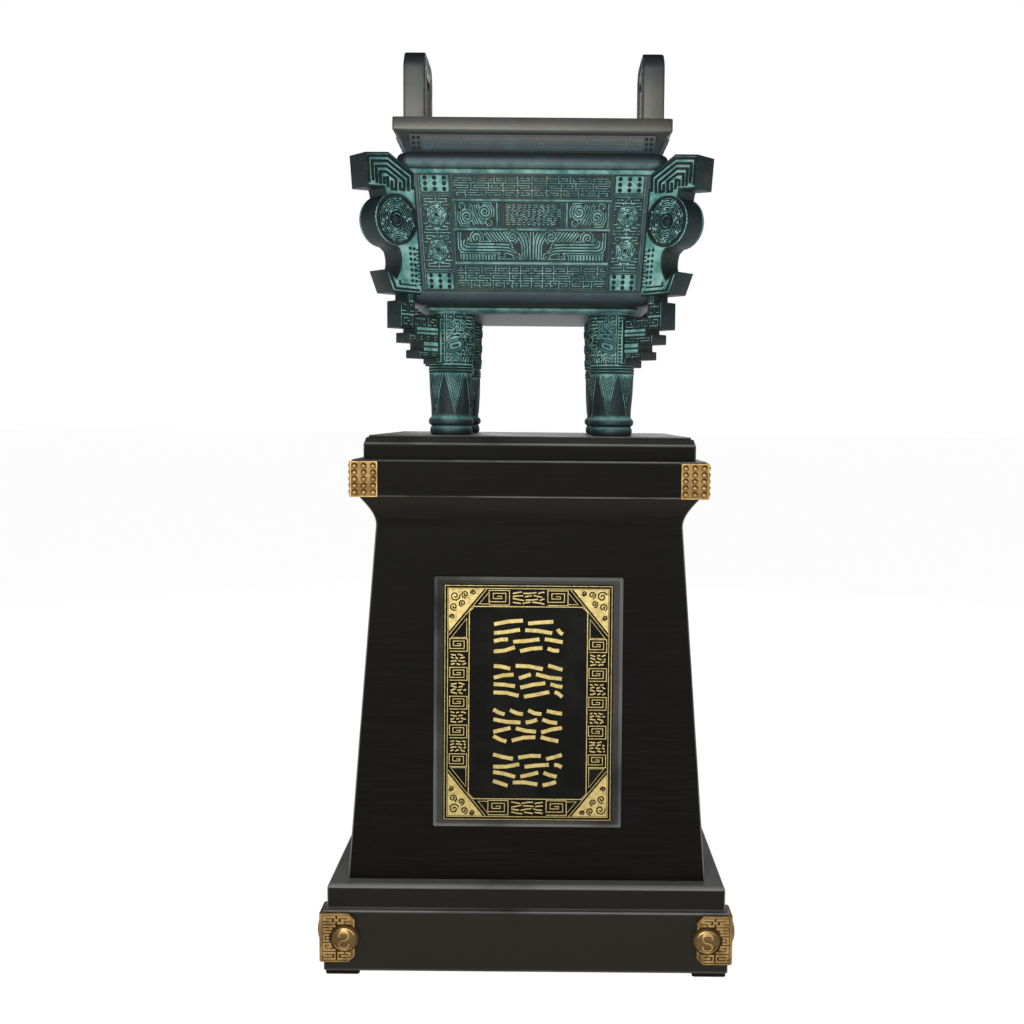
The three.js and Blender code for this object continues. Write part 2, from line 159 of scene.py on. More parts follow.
lacquerTone = {
    "black": (0.0034, 0.0031, 0.0022, 1),
    "grain": (0.0095, 0.009, 0.0075, 1),
    # painted light from the bright floor
    "floorLit": (0.019, 0.0175, 0.0135, 1),
    # worn edge, lightened further as a painted highlight along the edges
    "wornEdgeAndHighlight": (0.26, 0.258, 0.255, 1),
}


def lacquerFinish():
    # the grain shows as long low ripples; relief 1 is painted light from the bright floor, polish 1 a worn
    # edge with a painted highlight
    finish, tree, surface = newFinish("black_lacquer")
    grain = noise(tree, objectPlace(tree, (7, 7, 190)), 1, 6, 0.62)
    fine = noise(tree, objectPlace(tree, (22, 22, 520)), 1, 4, 0.6)
    cloud = noise(tree, objectPlace(tree), 5, 3)
    wearAndHighlight = multiply(tree, attribute(tree, "polishAndSheen"), spread(tree, cloud, 0.2, 0.6))
    ripple = mixValue(tree, 0.35, grain, fine)
    colour = mixColour(tree, spread(tree, ripple, 0.4, 0.8), lacquerTone["black"], lacquerTone["grain"])
    # painted floor light where relief is set
    colour = mixColour(tree, attribute(tree, "relief"), colour, lacquerTone["floorLit"])
    # worn edges, lightened further as a painted edge highlight
    colour = mixColour(tree, multiply(tree, wearAndHighlight, 0.9), colour, lacquerTone["wornEdgeAndHighlight"])
    gloss = mixValue(tree, spread(tree, ripple, 0.3, 0.7), 0.34, 0.52)
    link(tree, surface, Base_Color=colour, Roughness=gloss, Specular_IOR_Level=0.05,
         Normal=bump(tree, ripple, 0.16, 0.0012))
    return finish


brassTone = {
    "hollow": (0.045, 0.027, 0.012, 1),
    "rubbed": (0.40, 0.255, 0.095, 1),
    "dull": (0.22, 0.125, 0.042, 1),
}


def brassFinish():
    # relief 0 is the dark hollow, 1 the rubbed top
    finish, tree, surface = newFinish("aged_brass")
    at = objectPlace(tree)
    blotch = noise(tree, at, 42, 5, 0.6)
    speck = noise(tree, at, 240, 4, 0.6)
    relief = spread(tree, attribute(tree, "relief"), 0.05, 0.9)
    top = mixColour(tree, spread(tree, blotch, 0.35, 0.7), brassTone["rubbed"], brassTone["dull"])
    colour = mixColour(tree, relief, brassTone["hollow"], top)
    gloss = mixValue(tree, relief, 0.6, mixValue(tree, blotch, 0.24, 0.46))
    link(tree, surface, Base_Color=colour, Metallic=0.9, Roughness=gloss,
         Normal=bump(tree, speck, 0.25, 0.0004))
    return finish


plaqueTone = {
    "black": (0.0045, 0.0045, 0.0035, 1),
    "cloud": (0.01, 0.0095, 0.008, 1),
    "gold": (0.5, 0.395, 0.15, 1),
    "dullGold": (0.3, 0.22, 0.075, 1),
}


def plateFinish():
    # dark engraved plate behind the gilt strokes
    finish, tree, surface = newFinish("blackened_plate")
    speck = noise(tree, objectPlace(tree), 220, 5, 0.7)
    cloud = noise(tree, objectPlace(tree), 24, 3)
    colour = mixColour(tree, spread(tree, cloud, 0.35, 0.75), plaqueTone["black"], plaqueTone["cloud"])
    gloss = mixValue(tree, speck, 0.3, 0.55)
    link(tree, surface, Base_Color=colour, Roughness=gloss, Specular_IOR_Level=0.05,
         Normal=bump(tree, speck, 0.2, 0.0004))
    return finish


def giltFinish():
    finish, tree, surface = newFinish("gilt_stroke")
    speck = noise(tree, objectPlace(tree), 130, 5, 0.65)
    colour = mixColour(tree, spread(tree, speck, 0.35, 0.75), plaqueTone["gold"], plaqueTone["dullGold"])
    gloss = mixValue(tree, speck, 0.3, 0.5)
    link(tree, surface, Base_Color=colour, Metallic=0.85, Roughness=gloss,
         Normal=bump(tree, speck, 0.2, 0.0003))
    return finish


bronze = bronzeFinish()
lacquer = lacquerFinish()
brass = brassFinish()
blackPlate = plateFinish()
gilt = giltFinish()
print("finishes made")


# mesh helpers, working in millimetres until a piece is finished

def newPart():
    bm = bmesh.new()
    bm.verts.layers.float.new("relief")
    bm.verts.layers.float.new("polishAndSheen")
    bm.verts.layers.int.new("order")
    return bm


def tint(bm, verts, relief, polishAndSheen=0.0):
    reliefLayer = bm.verts.layers.float["relief"]
    polishLayer = bm.verts.layers.float["polishAndSheen"]
    for vert in verts:
        vert[reliefLayer] = relief
        vert[polishLayer] = polishAndSheen


def newVerts(result):
    return [item for item in result["geom"] if isinstance(item, bmesh.types.BMVert)]


def newEdges(result):
    return [item for item in result["geom"] if isinstance(item, bmesh.types.BMEdge)]


def pour(target, part, finish=0):
    for face in part.faces:
        face.material_index = finish
    mesh = bpy.data.meshes.new("pour")
    part.to_mesh(mesh)
    part.free()
    target.from_mesh(mesh)
    bpy.data.meshes.remove(mesh)


def finishPiece(bm, name, finishes, nodes, sharp=32, weighted=False):
    bmesh.ops.scale(bm, vec=(mm, mm, mm), verts=bm.verts)
    mesh = bpy.data.meshes.new(name)
    bm.to_mesh(mesh)
    bm.free()
    mesh.attributes.remove(mesh.attributes["order"])
    for finish in finishes:
        mesh.materials.append(finish)
    mesh.shade_smooth()
    mesh.set_sharp_from_angle(angle=math.radians(sharp))
    piece = bpy.data.objects.new(name, mesh)
    bpy.context.scene.collection.objects.link(piece)
    if weighted:
        normals = piece.modifiers.new("normals", "WEIGHTED_NORMAL")
        normals.keep_sharp = True
    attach(piece, "root")
    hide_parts(*nodes)
    mesh.calc_loop_triangles()
    print(name, "made,", len(mesh.loop_triangles), "triangles")


def arc(centre, radius, start, end, steps):
    angles = [math.radians(start + (end - start) * step / steps) for step in range(steps + 1)]
    return [(centre[0] + radius * math.cos(a), centre[1] + radius * math.sin(a)) for a in angles]


def curl(centre, radius, turns, start, hand=1, steps=14):
    # a spiral that winds in from its outer end
    path = []
    for step in range(steps + 1):
        part = step / steps
        angle = math.radians(start) + hand * turns * 2 * math.pi * part
        reach = radius * (1 - 0.86 * part)
        path.append((centre[0] + reach * math.cos(angle), centre[1] + reach * math.sin(angle)))
    return path


def mirrored(path):
    return [(-u, v) for u, v in path]


def mitres(points, loop):
    # sideways direction at each point, lengthened at the bends
    count = len(points)
    sides = []
    for number, point in enumerate(points):
        before = points[number - 1] if number or loop else point
        after = points[(number + 1) % count] if number < count - 1 or loop else point
        entry = (point - before).normalized() if before != point else (after - point).normalized()
        leave = (after - point).normalized() if after != point else entry
        along = (entry + leave).normalized() if (entry + leave).length > 0.01 else entry
        stretch = 1 / max(along.dot(entry), 0.55)
        sides.append(Vector((-along.y, along.x)) * stretch)
    return sides


def stroke(target, path, width, low, high, place, relief=1.0, polishAndSheen=0.0, loop=False, draft=0.72, finish=0,
           skirt=0.0):
    # a raised line along a path, narrower at its top, with patina gathered along its foot
    points = [Vector(point) for point in path]
    sides = mitres(points, loop)
    bm = newPart()
    order = bm.verts.layers.int["order"]
    start = [bm.verts.new((points[0] - sides[0]).to_3d()), bm.verts.new((points[0] + sides[0]).to_3d())]
    start[1][order] = 1
    firstEdge = bm.edges.new(start)
    edge = firstEdge
    for number in range(1, len(points)):
        edge = newEdges(bmesh.ops.extrude_edge_only(bm, edges=[edge]))[0]
        for vert in edge.verts:
            vert[order] += 2
            side = sides[number] if vert[order] % 2 else -sides[number]
            vert.co = (points[number] + side).to_3d()
    if loop:
        bmesh.ops.bridge_loops(bm, edges=[firstEdge, edge])
    raised = set(newVerts(bmesh.ops.extrude_face_region(bm, geom=bm.faces[:])))
    for vert in bm.verts:
        number, side = divmod(vert[order], 2)
        half = width / 2 * draft if vert in raised else width / 2 + skirt
        at = points[number] + sides[number] * (half if side else -half)
        vert.co = place(at.x, at.y, high if vert in raised else low)
    tint(bm, bm.verts, relief * 0.3 if skirt else relief, polishAndSheen)
    tint(bm, raised, relief, polishAndSheen)
    bmesh.ops.recalc_face_normals(bm, faces=bm.faces)
    pour(target, bm, finish)


def carpet(target, columns, rows, raised, place, low, high, flip=False, polishAndSheen=0.0, wide=0.68, seam=False):
    # a sheet of cells, some raised; even cells hold the ridges and are the wider ones
    bm = newPart()
    bmesh.ops.create_grid(bm, x_segments=columns, y_segments=rows, size=0.5)
    standing = []
    for face in bm.faces:
        centre = face.calc_center_median()
        if raised(int((centre.x + 0.5) * columns), int((centre.y + 0.5) * rows)):
            standing.append(face)
    tops = set(newVerts(bmesh.ops.extrude_face_region(bm, geom=standing)))
    reliefLayer = bm.verts.layers.float["relief"]

    def warp(part, count):
        number = round(part * count)
        full = (count // 2) * 2 * 0.5 + (count % 2) * wide
        return ((number // 2) + (number % 2) * wide) / full

    for vert in bm.verts:
        u = warp(vert.co.x + 0.5, columns)
        v = warp(vert.co.y + 0.5, rows)
        vert[reliefLayer] = 1.0 if vert in tops else 0.0
        vert.co = place(u, v, high if vert in tops else low)
    if seam:
        bmesh.ops.remove_doubles(bm, verts=bm.verts, dist=0.01)
    if flip:
        bmesh.ops.reverse_faces(bm, faces=bm.faces)
    polishLayer = bm.verts.layers.float["polishAndSheen"]
    for vert in bm.verts:
        vert[polishLayer] = polishAndSheen
    pour(target, bm)


def stud(target, place, u, v, radius, low, high, relief=1.0, polishAndSheen=0.0):
    bm = newPart()
    bmesh.ops.create_icosphere(bm, subdivisions=2, radius=1)
    for vert in bm.verts:
        vert.co = place(u + radius * vert.co.x, v + radius * vert.co.y, low + (high - low) * vert.co.z)
    tint(bm, bm.verts, relief, polishAndSheen)
    bmesh.ops.recalc_face_normals(bm, faces=bm.faces)
    pour(target, bm)


def spiralCells(width, height):
    # the cells of one squared spiral, ridge and groove each one cell wide
    heading = [(1, 0), (0, 1), (-1, 0), (0, -1)]
    runs = []
    acrossRuns = [width - 1] + list(range(width - 1, 0, -2))
    upRuns = list(range(height - 1, 0, -2))
    for pair in zip(acrossRuns, upRuns + [0]):
        runs += pair
    at = (0, 0)
    cells = {at}
    for turn, run in enumerate(runs):
        for step in range(run):
            at = (at[0] + heading[turn % 4][0], at[1] + heading[turn % 4][1])
            cells.add(at)
    return cells


def thunder(halfColumns, tileRows, tall, rng, sizes=(5, 7, 9, 11, 13), broken=0.06):
    # rows of squared spirals of mixed width, mirrored about the middle; gives columns, rows and a test
    cells = set()
    for tileRow in range(tileRows):
        start = 0
        while start < halfColumns:
            left = halfColumns - start
            width = rng.choice(sizes)
            if left < width + 1 + sizes[0] + 1:
                width = left - 1
            lean = rng.random() < 0.5
            tip = rng.random() < 0.5
            for i, j in spiralCells(width, tall):
                column = start + (width - 1 - i if lean else i)
                row = tileRow * (tall + 1) + (tall - 1 - j if tip else j)
                cells.add((column, row))
            start += width + 1
    columns = 2 * halfColumns - 1
    rows = tileRows * (tall + 1) - 1
    for cell in itertools.product(range(halfColumns), range(rows)):
        if rng.random() < broken:
            cells.add(cell)
    return columns, rows, lambda column, row: (min(column, columns - 1 - column), row) in cells


def labyrinth(bm, at, inner, outer, pitch, low, high, rng):
    # broken rings joined by short links, as on a coiled roundel
    rings = round((outer - inner) / pitch)
    width = pitch * 0.58
    for ring in range(rings):
        reach = inner + pitch * (ring + 0.5)
        pieces = 2 + ring
        span = 360 / pieces
        gap = math.degrees(pitch / reach)
        start = rng.uniform(0, 360)
        for number in range(pieces):
            first = start + span * number
            ringPiece = arc((0, 0), reach, first, first + span - gap, max(4, round(span / 14)))
            stroke(bm, ringPiece, width, low, high, at)
            if ring + 1 < rings:
                spoke = math.radians(first + rng.uniform(0.1, 0.7) * span)
                joint = [(r * math.cos(spoke), r * math.sin(spoke)) for r in (reach, reach + pitch)]
                stroke(bm, joint, width, low, high - 0.05, at)


def box(place, u0, u1, v0, v1):
    # turns unit cell coordinates into a rectangle of a face
    return lambda u, v, w: place(u0 + (u1 - u0) * u, v0 + (v1 - v0) * v, w)


def ringPoint(number, steps, halfX, halfY, radius):
    # one point of a rounded rectangle, counted round its four corners
    corner, step = divmod(number, steps + 1)
    angle = math.radians(90 * (corner + step / steps))
    signX = 1 if corner in (0, 3) else -1
    signY = 1 if corner < 2 else -1
    return (signX * (halfX - radius) + radius * math.cos(angle),
            signY * (halfY - radius) + radius * math.sin(angle))


def loft(rows, steps=5, edgeWearAndHighlight=0.0):
    # a closed block through rounded rectangles, each row is half x, half y, z, corner, relief, polish
    bm = newPart()
    order = bm.verts.layers.int["order"]
    reliefLayer = bm.verts.layers.float["relief"]
    polishLayer = bm.verts.layers.float["polishAndSheen"]
    ring = bmesh.ops.create_circle(bm, cap_ends=False, segments=4 * (steps + 1), radius=1)["verts"]
    for number, vert in enumerate(ring):
        vert[order] = number
    edges = bm.edges[:]
    for level, (halfX, halfY, z, corner, relief, polishAndSheen) in enumerate(rows):
        if level == 0:
            bottom = edges
        else:
            result = bmesh.ops.extrude_edge_only(bm, edges=edges)
            ring = newVerts(result)
            fresh = set(ring)
            edges = [e for e in newEdges(result) if all(v in fresh for v in e.verts)]
        for vert in ring:
            x, y = ringPoint(vert[order], steps, halfX, halfY, corner)
            vert.co = (x, y, z)
            vert[reliefLayer] = relief
            # edge wear and a painted edge highlight, strongest at the middle of each rounded corner
            middle = 1 - abs(2 * (vert[order] % (steps + 1)) / steps - 1)
            vert[polishLayer] = max(polishAndSheen, edgeWearAndHighlight * middle)
    bmesh.ops.contextual_create(bm, geom=bottom)
    bmesh.ops.contextual_create(bm, geom=edges)
    bmesh.ops.recalc_face_normals(bm, faces=bm.faces)
    return bm


def rounded(half, z, across, up, start, end, steps=7):
    # half sizes and heights round a moulding
    rows = []
    for step in range(steps + 1):
        angle = math.radians(start + (end - start) * step / steps)
        rows.append((half + across * math.cos(angle), z + up * math.sin(angle)))
    return rows


# the vessel's shell

shell = {
    "depthCut": 34,       # the short sides are this much nearer the middle
    "corner": 22,         # plan radius of the mouldings
    "underside": 1182,
    "foot": (226, 1218.5),
    "head": (242, 1423),
    "rim": (247, 1495.5, 1519),
    "floor": (212, 1200),
    "mouth": 204,
}


def shellRows():
    cut = shell["depthCut"]
    rows = []

    def add(half, z, corner, relief, polishAndSheen):
        rows.append((half, half - cut, z, corner, relief, polishAndSheen))

    add(172, shell["underside"], 18, 0.9, 0.55)
    for half, z in rounded(172, 1189.5, 25, 7.5, -88, 0):
        add(half, z, shell["corner"], 0.46, 0.15)
    add(197, 1191, shell["corner"], 0.4, 0.0)
    add(195, 1191.5, shell["corner"], 1.0, 0.0)
    add(203, 1192.5, shell["corner"], 1.0, 0.1)
    for half, z in rounded(203, 1216.5, 27, 23.5, -82, 0):
        add(half, z, shell["corner"], 0.95, 0.6)
    add(230, 1217.5, shell["corner"], 0.9, 0.3)
    add(227, 1218.2, 8, 1.0, 0.0)
    foot = shell["foot"]
    head = shell["head"]
    add(foot[0], foot[1], 2, 0.32, 0.0)
    add(head[0], head[1], 2, 0.32, 0.0)
    add(242.5, 1424.5, 4, 0.3, 0.0)
    add(241, 1430, 6, 0.3, 0.1)
    add(240.4, 1430.4, 12, 1.0, 0.0)
    for half, z in rounded(235, 1445, 7.5, 14.5, -78, 80, 10):
        under = z < 1443  # the shaded half of the roll
        add(half, z, shell["corner"], 0.45 if under else 0.95, 0.72 if under else 0.92)
    add(229.5, 1460, 10, 1.0, 0.2)
    add(225.5, 1461, 2, 1.0, 0.2)
    add(228, 1474, 2, 1.0, 0.35)
    add(234.5, 1486, 2, 1.0, 0.35)
    add(244, 1494, 2, 1.0, 0.35)
    rim, low, high = shell["rim"]
    add(rim - 1.5, low, 3, 1.0, 0.7)
    add(rim, low + 2, 3.5, 0.95, 0.95)
    add(rim, high - 2, 3.5, 0.95, 0.95)
    add(rim - 0.8, high - 0.6, 3.5, 0.9, 1.0)
    add(rim - 2.4, high, 3.5, 0.9, 1.0)
    mouth = shell["mouth"]
    add(mouth + 2, high, 10, 0.9, 1.0)
    add(mouth, high - 2, 10, 0.95, 0.8)
    add(mouth, 1495.5, 10, 1.0, 0.5)
    add(213.5, 1461, 6, 1.0, 0.35)
    add(230, 1423, 6, 1.0, 0.3)
    add(shell["floor"][0], shell["floor"][1] + 8, 10, 0.8, 0.25)
    add(shell["floor"][0] - 8, shell["floor"][1], 10, 0.7, 0.25)
    return rows


def facePlace(turn, headHalf, headAcross):
    # u runs across a wall, v up its slope from the foot and w outward
    foot = shell["foot"]
    head = shell["head"]
    grow = head[0] - foot[0]
    rise = head[1] - foot[1]
    slope = math.hypot(grow, rise)
    up = Vector((0, -grow / slope, rise / slope))
    out = Vector((0, -rise / slope, -grow / slope))
    start = Vector((0, -(headHalf - grow), foot[1]))
    spin = Matrix.Rotation(math.radians(turn), 4, "Z")

    def place(u, v, w):
        taper = 1 - grow / headAcross * (1 - v / slope)
        return spin @ (start + Vector((u * taper, 0, 0)) + up * v + out * w)

    return place


walls = []
for turn in (0, 90, 180, 270):
    across = shell["head"][0]
    deep = across - shell["depthCut"]
    if turn % 180:
        walls.append((facePlace(turn, across, deep), shell["depthCut"], turn))
    else:
        walls.append((facePlace(turn, deep, across), 0, turn))


frieze = {
    "half": 216,
    "low": (228.5, 1462.5),   # reach and height of its lower edge
    "high": (243.5, 1493),
    "tall": 31,
    "margin": 3.6,
    "dots": (2, 3),
    "dotPitch": (8.4, 9),
    "dotStart": (6, 6.5),
    "dotRadius": 3.1,
    "dotCell": 20,
}


def friezePlace(turn, cut):
    # the band between the roll and the rim leans out under the rim
    lowHalf = frieze["low"][0] - cut
    highHalf = frieze["high"][0] - cut
    lean = math.atan2(highHalf - lowHalf, frieze["high"][1] - frieze["low"][1])
    up = Vector((0, -math.sin(lean), math.cos(lean)))
    out = Vector((0, -math.cos(lean), -math.sin(lean)))
    start = Vector((0, -lowHalf, frieze["low"][1]))
    spin = Matrix.Rotation(math.radians(turn), 4, "Z")
    return lambda u, v, w: spin @ (start + Vector((u, 0, 0)) + up * v + out * w)


def makeShell():
    bm = newPart()
    rng = random.Random(3)
    pour(bm, loft(shellRows(), 6))
    for place, trim, turn in walls:
        cut = shell["depthCut"] - trim
        band = friezePlace(turn, cut)
        half = frieze["half"] - trim
        tall = frieze["tall"]
        stroke(bm, [(-half, tall / 2), (half, tall / 2)], tall, -4, 1.2, band, 0.8, 0.75, draft=0.97)
        for v in (1.6, tall - 1.6):
            stroke(bm, [(-half, v), (half, v)], 3, 1, 2.8, band, 1.0, 0.75)
        field = half - frieze["dotCell"]
        for side in (-1, 1):
            stroke(bm, [(side * half, 0), (side * half, tall)], 3, 1, 2.8, band, 1.0, 0.75)
            for column, row in itertools.product(*map(range, frieze["dots"])):
                u = half - frieze["dotStart"][0] - frieze["dotPitch"][0] * column
                v = frieze["dotStart"][1] + frieze["dotPitch"][1] * row
                stud(bm, band, side * u, v, frieze["dotRadius"], 1.2, 3.6)
        columns, rows, raised = thunder(2 * round(field / 5), 1, 7, rng, (7, 9, 11, 13, 15))
        area = box(band, -field, field, frieze["margin"], tall - frieze["margin"])
        carpet(bm, columns, rows, raised, area, 1.4, 2.2, polishAndSheen=0.9)
    finishPiece(bm, "vessel_shell", [bronze], ["ding_vessel"], 36)


# carved walls: four bands, stud cells and roundel columns

wall = {
    "bands": [(3, 47.5), (51.5, 107), (110, 157.5), (160.5, 203)],
    "bandHalf": 143,
    "column": (147, 201),
    "edge": 206,
    "studCells": [(2.5, 32), (171.5, 202.5)],
    "middle": (35.5, 168),
    "roundels": (72.5, 132.8),
    "roundelRadius": 22,
    "studRadius": 3.9,
    "studPitch": (17, 9.6),
    "height": 204,
    "margin": 3.4,
    "plateau": 1.4,
    "ridge": 3.2,
    "tablet": 61,
    "shortTablet": 44,        # on the two short sides
}


def frameBox(bm, place, u0, u1, v0, v1, width, low, high, relief=1.0, polishAndSheen=0.0):
    corners = [(u0, v0), (u1, v0), (u1, v1), (u0, v1)]
    stroke(bm, corners, width, low, high, place, relief, polishAndSheen, loop=True)


def thunderBand(bm, place, half, low, high, rng):
    margin = wall["margin"]
    inner = half - margin
    columns, rows, raised = thunder(2 * round(inner / 5.2), 3, 5, rng)
    area = box(place, -inner, inner, low + margin, high - margin)
    carpet(bm, columns, rows, raised, area, wall["plateau"], wall["ridge"])


def scrollLines():
    # one panel's curls and sprigs about its middle
    return [curl((-16, 5), 12, 1.7, 200, 1, 18), curl((17, -4), 12, 1.7, 20, 1, 18),
            curl((-24, -14), 5.5, 1.3, 90, -1, 10), curl((26, 15), 5.5, 1.3, -90, -1, 10),
            [(-6, -17), (-2, -8), (3, 4), (5, 17)], [(-13, -17), (-10, -12), (-8, -6)],
            [(12, 18), (9, 13), (10, 8)], [(-30, -4), (-31, 8), (-26, 18), (-12, 19)],
            [(31, 5), (32, -8), (27, -18), (12, -19)], [(-2, 18), (-5, 10)], [(2, -18), (6, -10)]]


def tabletBand(bm, place, half, low, high, rng):
    # scroll panels either side of a tablet of short plain strokes
    tablet = wall["tablet"] if half == wall["bandHalf"] else wall["shortTablet"]
    ridge = wall["ridge"]
    middle = (low + high) / 2
    for side in (-1, 1):
        for number in range(3):
            u = side * (tablet - 3.4 * number)
            stroke(bm, [(u, low + 3), (u, high - 3)], 2.2, 0.5, ridge + 0.4, place)
        panel = (tablet + 4, half - 5)
        u0, u1 = sorted((side * panel[0], side * panel[1]))
        sheet(bm, place, u0, u1, low + 3, high - 3, 1.3, 0.85)
        centre = (u0 + u1) / 2
        scale = (panel[1] - panel[0]) / 74  # the scrolls are drawn on a panel 74 wide
        for path in scrollLines():
            run = [(centre + side * u * scale, middle + v * 0.98) for u, v in path]
            halo(bm, run, 2.8, place)
            stroke(bm, run, 2.8, 1, ridge, place)
    rows = 5
    pitch = (high - low - 10) / rows
    for row in range(rows):
        v = low + 5 + pitch * (row + 0.5)
        u = -(tablet - 14)
        while u < tablet - 16:
            length = rng.uniform(4.5, 9.5)
            tiltUp = rng.uniform(-2.2, 2.2)
            dash = [(u, v - tiltUp), (u + length / 2, v + tiltUp * 0.3), (u + length, v + tiltUp)]
            stroke(bm, dash, 2.4, 1.4, ridge, place)
            halo(bm, dash, 2.0, place)
            u += length + rng.uniform(2.4, 4)
    sheet(bm, place, -(tablet - 9), tablet - 9, low + 3, high - 3, 1.3, 0.85)


def sheet(bm, place, u0, u1, v0, v1, high, relief):
    # a low plain field
    stroke(bm, [(u0, (v0 + v1) / 2), (u1, (v0 + v1) / 2)], v1 - v0, -0.5, high, place, relief, draft=0.985)


haloLevels = itertools.cycle(0.015 * step for step in range(9))


def halo(bm, path, width, place, base=1.42):
    # pale patina lying along both sides of a ridge
    stroke(bm, path, width + 2.8, base - 0.9, base + next(haloLevels), place, 0.16, draft=0.98)


def roundGround(bm, at, radius, low, high, relief):
    part = newPart()
    bmesh.ops.create_circle(part, cap_ends=True, segments=36, radius=radius)
    raised = set(newVerts(bmesh.ops.extrude_face_region(part, geom=part.faces[:])))
    for vert in part.verts:
        vert.co = at(vert.co.x, vert.co.y, high if vert in raised else low)
    tint(part, part.verts, relief)
    bmesh.ops.recalc_face_normals(part, faces=part.faces)
    pour(bm, part)


def plumeBand(bm, place, half, low, high):
    # mirrored plumes and curls that run out from a middle ridge
    ridge = wall["ridge"]
    wideScale = half / 143  # the plumes are drawn on a band 286 wide and 55.5 tall
    tallScale = (high - low) / 55.5

    def line(path, width):
        for points in (path, mirrored(path)):
            run = [(u * wideScale, low + v * tallScale) for u, v in points]
            halo(bm, run, width, place)
            stroke(bm, run, width, 1.1, ridge, place)

    sheet(bm, place, -half + 3, half - 3, low + 2.5, high - 2.5, 1.3, 0.8)
    halo(bm, [(0, low + 4), (0, high - 3)], 4.2, place)
    stroke(bm, [(0, low + 4), (0, high - 3)], 4.2, 0.4, ridge + 0.8, place)
    for number in range(3):
        line([(5.5 + 5 * number, 10 - 2.5 * number), (6 + 5 * number, 30), (8 + 7 * number, 42),
              (13 + 8 * number, 51.5)], 2.9)
    line(curl((36, 44), 10, 1.6, 250, -1), 3)
    line(arc((36, 44), 14.5, 150, 20, 6), 2.6)
    line(curl((103, 42), 12, 1.6, 200, -1), 3.2)
    line(curl((57, 11), 6, 1.3, 90, 1, 10), 2.8)
    line(curl((27, 10.5), 6.5, 1.4, 90, -1, 10), 2.8)
    for number in range(6):
        start = 55 + 6.2 * number
        line([(start, 51.5), (start - 6, 43), (start - 14 - number, 33.5 - 0.5 * number)], 2.9)
    for number in range(4):
        v = 18 + 5.2 * number
        reach = 134 - 5.4 * number
        bend = 9 - 1.5 * number
        path = [(31 + 2 * number, v - 6), (42, v - 1), (54 + 2 * number, v)]
        path += arc((reach - bend, v + bend), bend, -90, 0, 4)
        path += [(reach, 51.5 if number == 0 else 40 - 3 * number)]
        line(path, 3.1)
    for number in range(11):
        u = 71 + 5.9 * number
        line([(u, 3.5), (u, 12.5)], 2.9)
    line([(66, 14.2), (134, 14.2)], 2.2)
    line([(10, 4), (20, 3.5), (48, 3.5), (64, 3.5)], 2.4)


def roundel(bm, place, u, v, rng):
    radius = wall["roundelRadius"]
    at = lambda a, b, w: place(u + a, v + b, w)
    roundGround(bm, at, radius, -0.5, 1.9, 0.05)
    labyrinth(bm, at, 4.5, radius - 2.6, 3.8, 1.2, 3.6, rng)
    stroke(bm, arc((0, 0), radius - 1.3, 0, 345, 23), 2.8, -0.5, 4.4, at, 1.0, 0.1, loop=True)
    stroke(bm, arc((0, 0), radius + 1.8, 0, 345, 23), 1.6, -0.5, 1.6, at, 0.1, loop=True)
    stud(bm, at, 0, 0, 4.2, 2, 4.4, 1.0, 0.1)


def makeWalls():
    bm = newPart()
    rng = random.Random(7)
    for place, trim, turn in walls:
        half = wall["bandHalf"] - trim
        inner, outer = (edge - trim for edge in wall["column"])
        edge = wall["edge"] - trim
        tall = wall["height"]
        for side in (-1, 1):
            stroke(bm, [(side * edge, 0.5), (side * edge, tall)], 6.5, -1, 4.2, place, 0.95, 0.55)
            stroke(bm, [(side * (half + 2), 1), (side * (half + 2), tall)], 2.4, -1, 3.4, place, 1.0, 0.15)
        for v in (1.4, tall - 0.6):
            stroke(bm, [(-edge, v), (edge, v)], 2.6, -1, 3.2, place, 0.9, 0.35)
        for low, high in wall["bands"]:
            frameBox(bm, place, -half + 1.4, half - 1.4, low + 1.4, high - 1.4, 2.6, -0.6,
                     wall["ridge"] + 0.3, 1.0, 0.2)
        thunderBand(bm, place, half, *wall["bands"][0], rng)
        plumeBand(bm, place, half, *wall["bands"][1])
        tabletBand(bm, place, half, *wall["bands"][2], rng)
        thunderBand(bm, place, half, *wall["bands"][3], rng)
        for side in (-1, 1):
            middle = side * (inner + outer) / 2
            foot, head = wall["middle"]
            u0, u1 = sorted((side * inner, side * outer))
            columns, rows, spiral = thunder(10, 8, 5, rng, (5, 9))

            def cellRaised(i, j):
                # no spirals under the roundels
                u = (i + 0.5) / columns * (u1 - u0) - (u1 - u0) / 2
                v = foot + 3 + (j + 0.5) / rows * (head - foot - 6)
                clear = all(math.hypot(u, v - at) > wall["roundelRadius"] + 2 for at in wall["roundels"])
                return clear and spiral(i, j)

            carpet(bm, columns, rows, cellRaised, box(place, u0 + 3, u1 - 3, foot + 3, head - 3),
                   wall["plateau"], wall["ridge"])
            frameBox(bm, place, u0 + 1, u1 - 1, foot, head, 2.4, -0.6, wall["ridge"], 1.0, 0.1)
            for v in wall["roundels"]:
                roundel(bm, place, middle, v, rng)
            for low, high in wall["studCells"]:
                frameBox(bm, place, u0 + 1, u1 - 1, low, high, 2.2, -0.6, wall["ridge"], 1.0, 0.1)
                for column, row in itertools.product((-1, 0, 1), repeat=2):
                    u = middle + wall["studPitch"][0] * column
                    v = (low + high) / 2 + wall["studPitch"][1] * row
                    stud(bm, place, u, v, wall["studRadius"], 0, 3.8)
    finishPiece(bm, "carved_walls", [bronze], ["ding_vessel"], 30)


# corner flanges: a hooked plate with a disc on each diagonal

flange = {
    "corner": (242, 208),
    "half": 23.25,
    "disc": (15, 1337),
    "discRadius": 45,
    "sink": 1.6,
    "rim": 3.6,
}


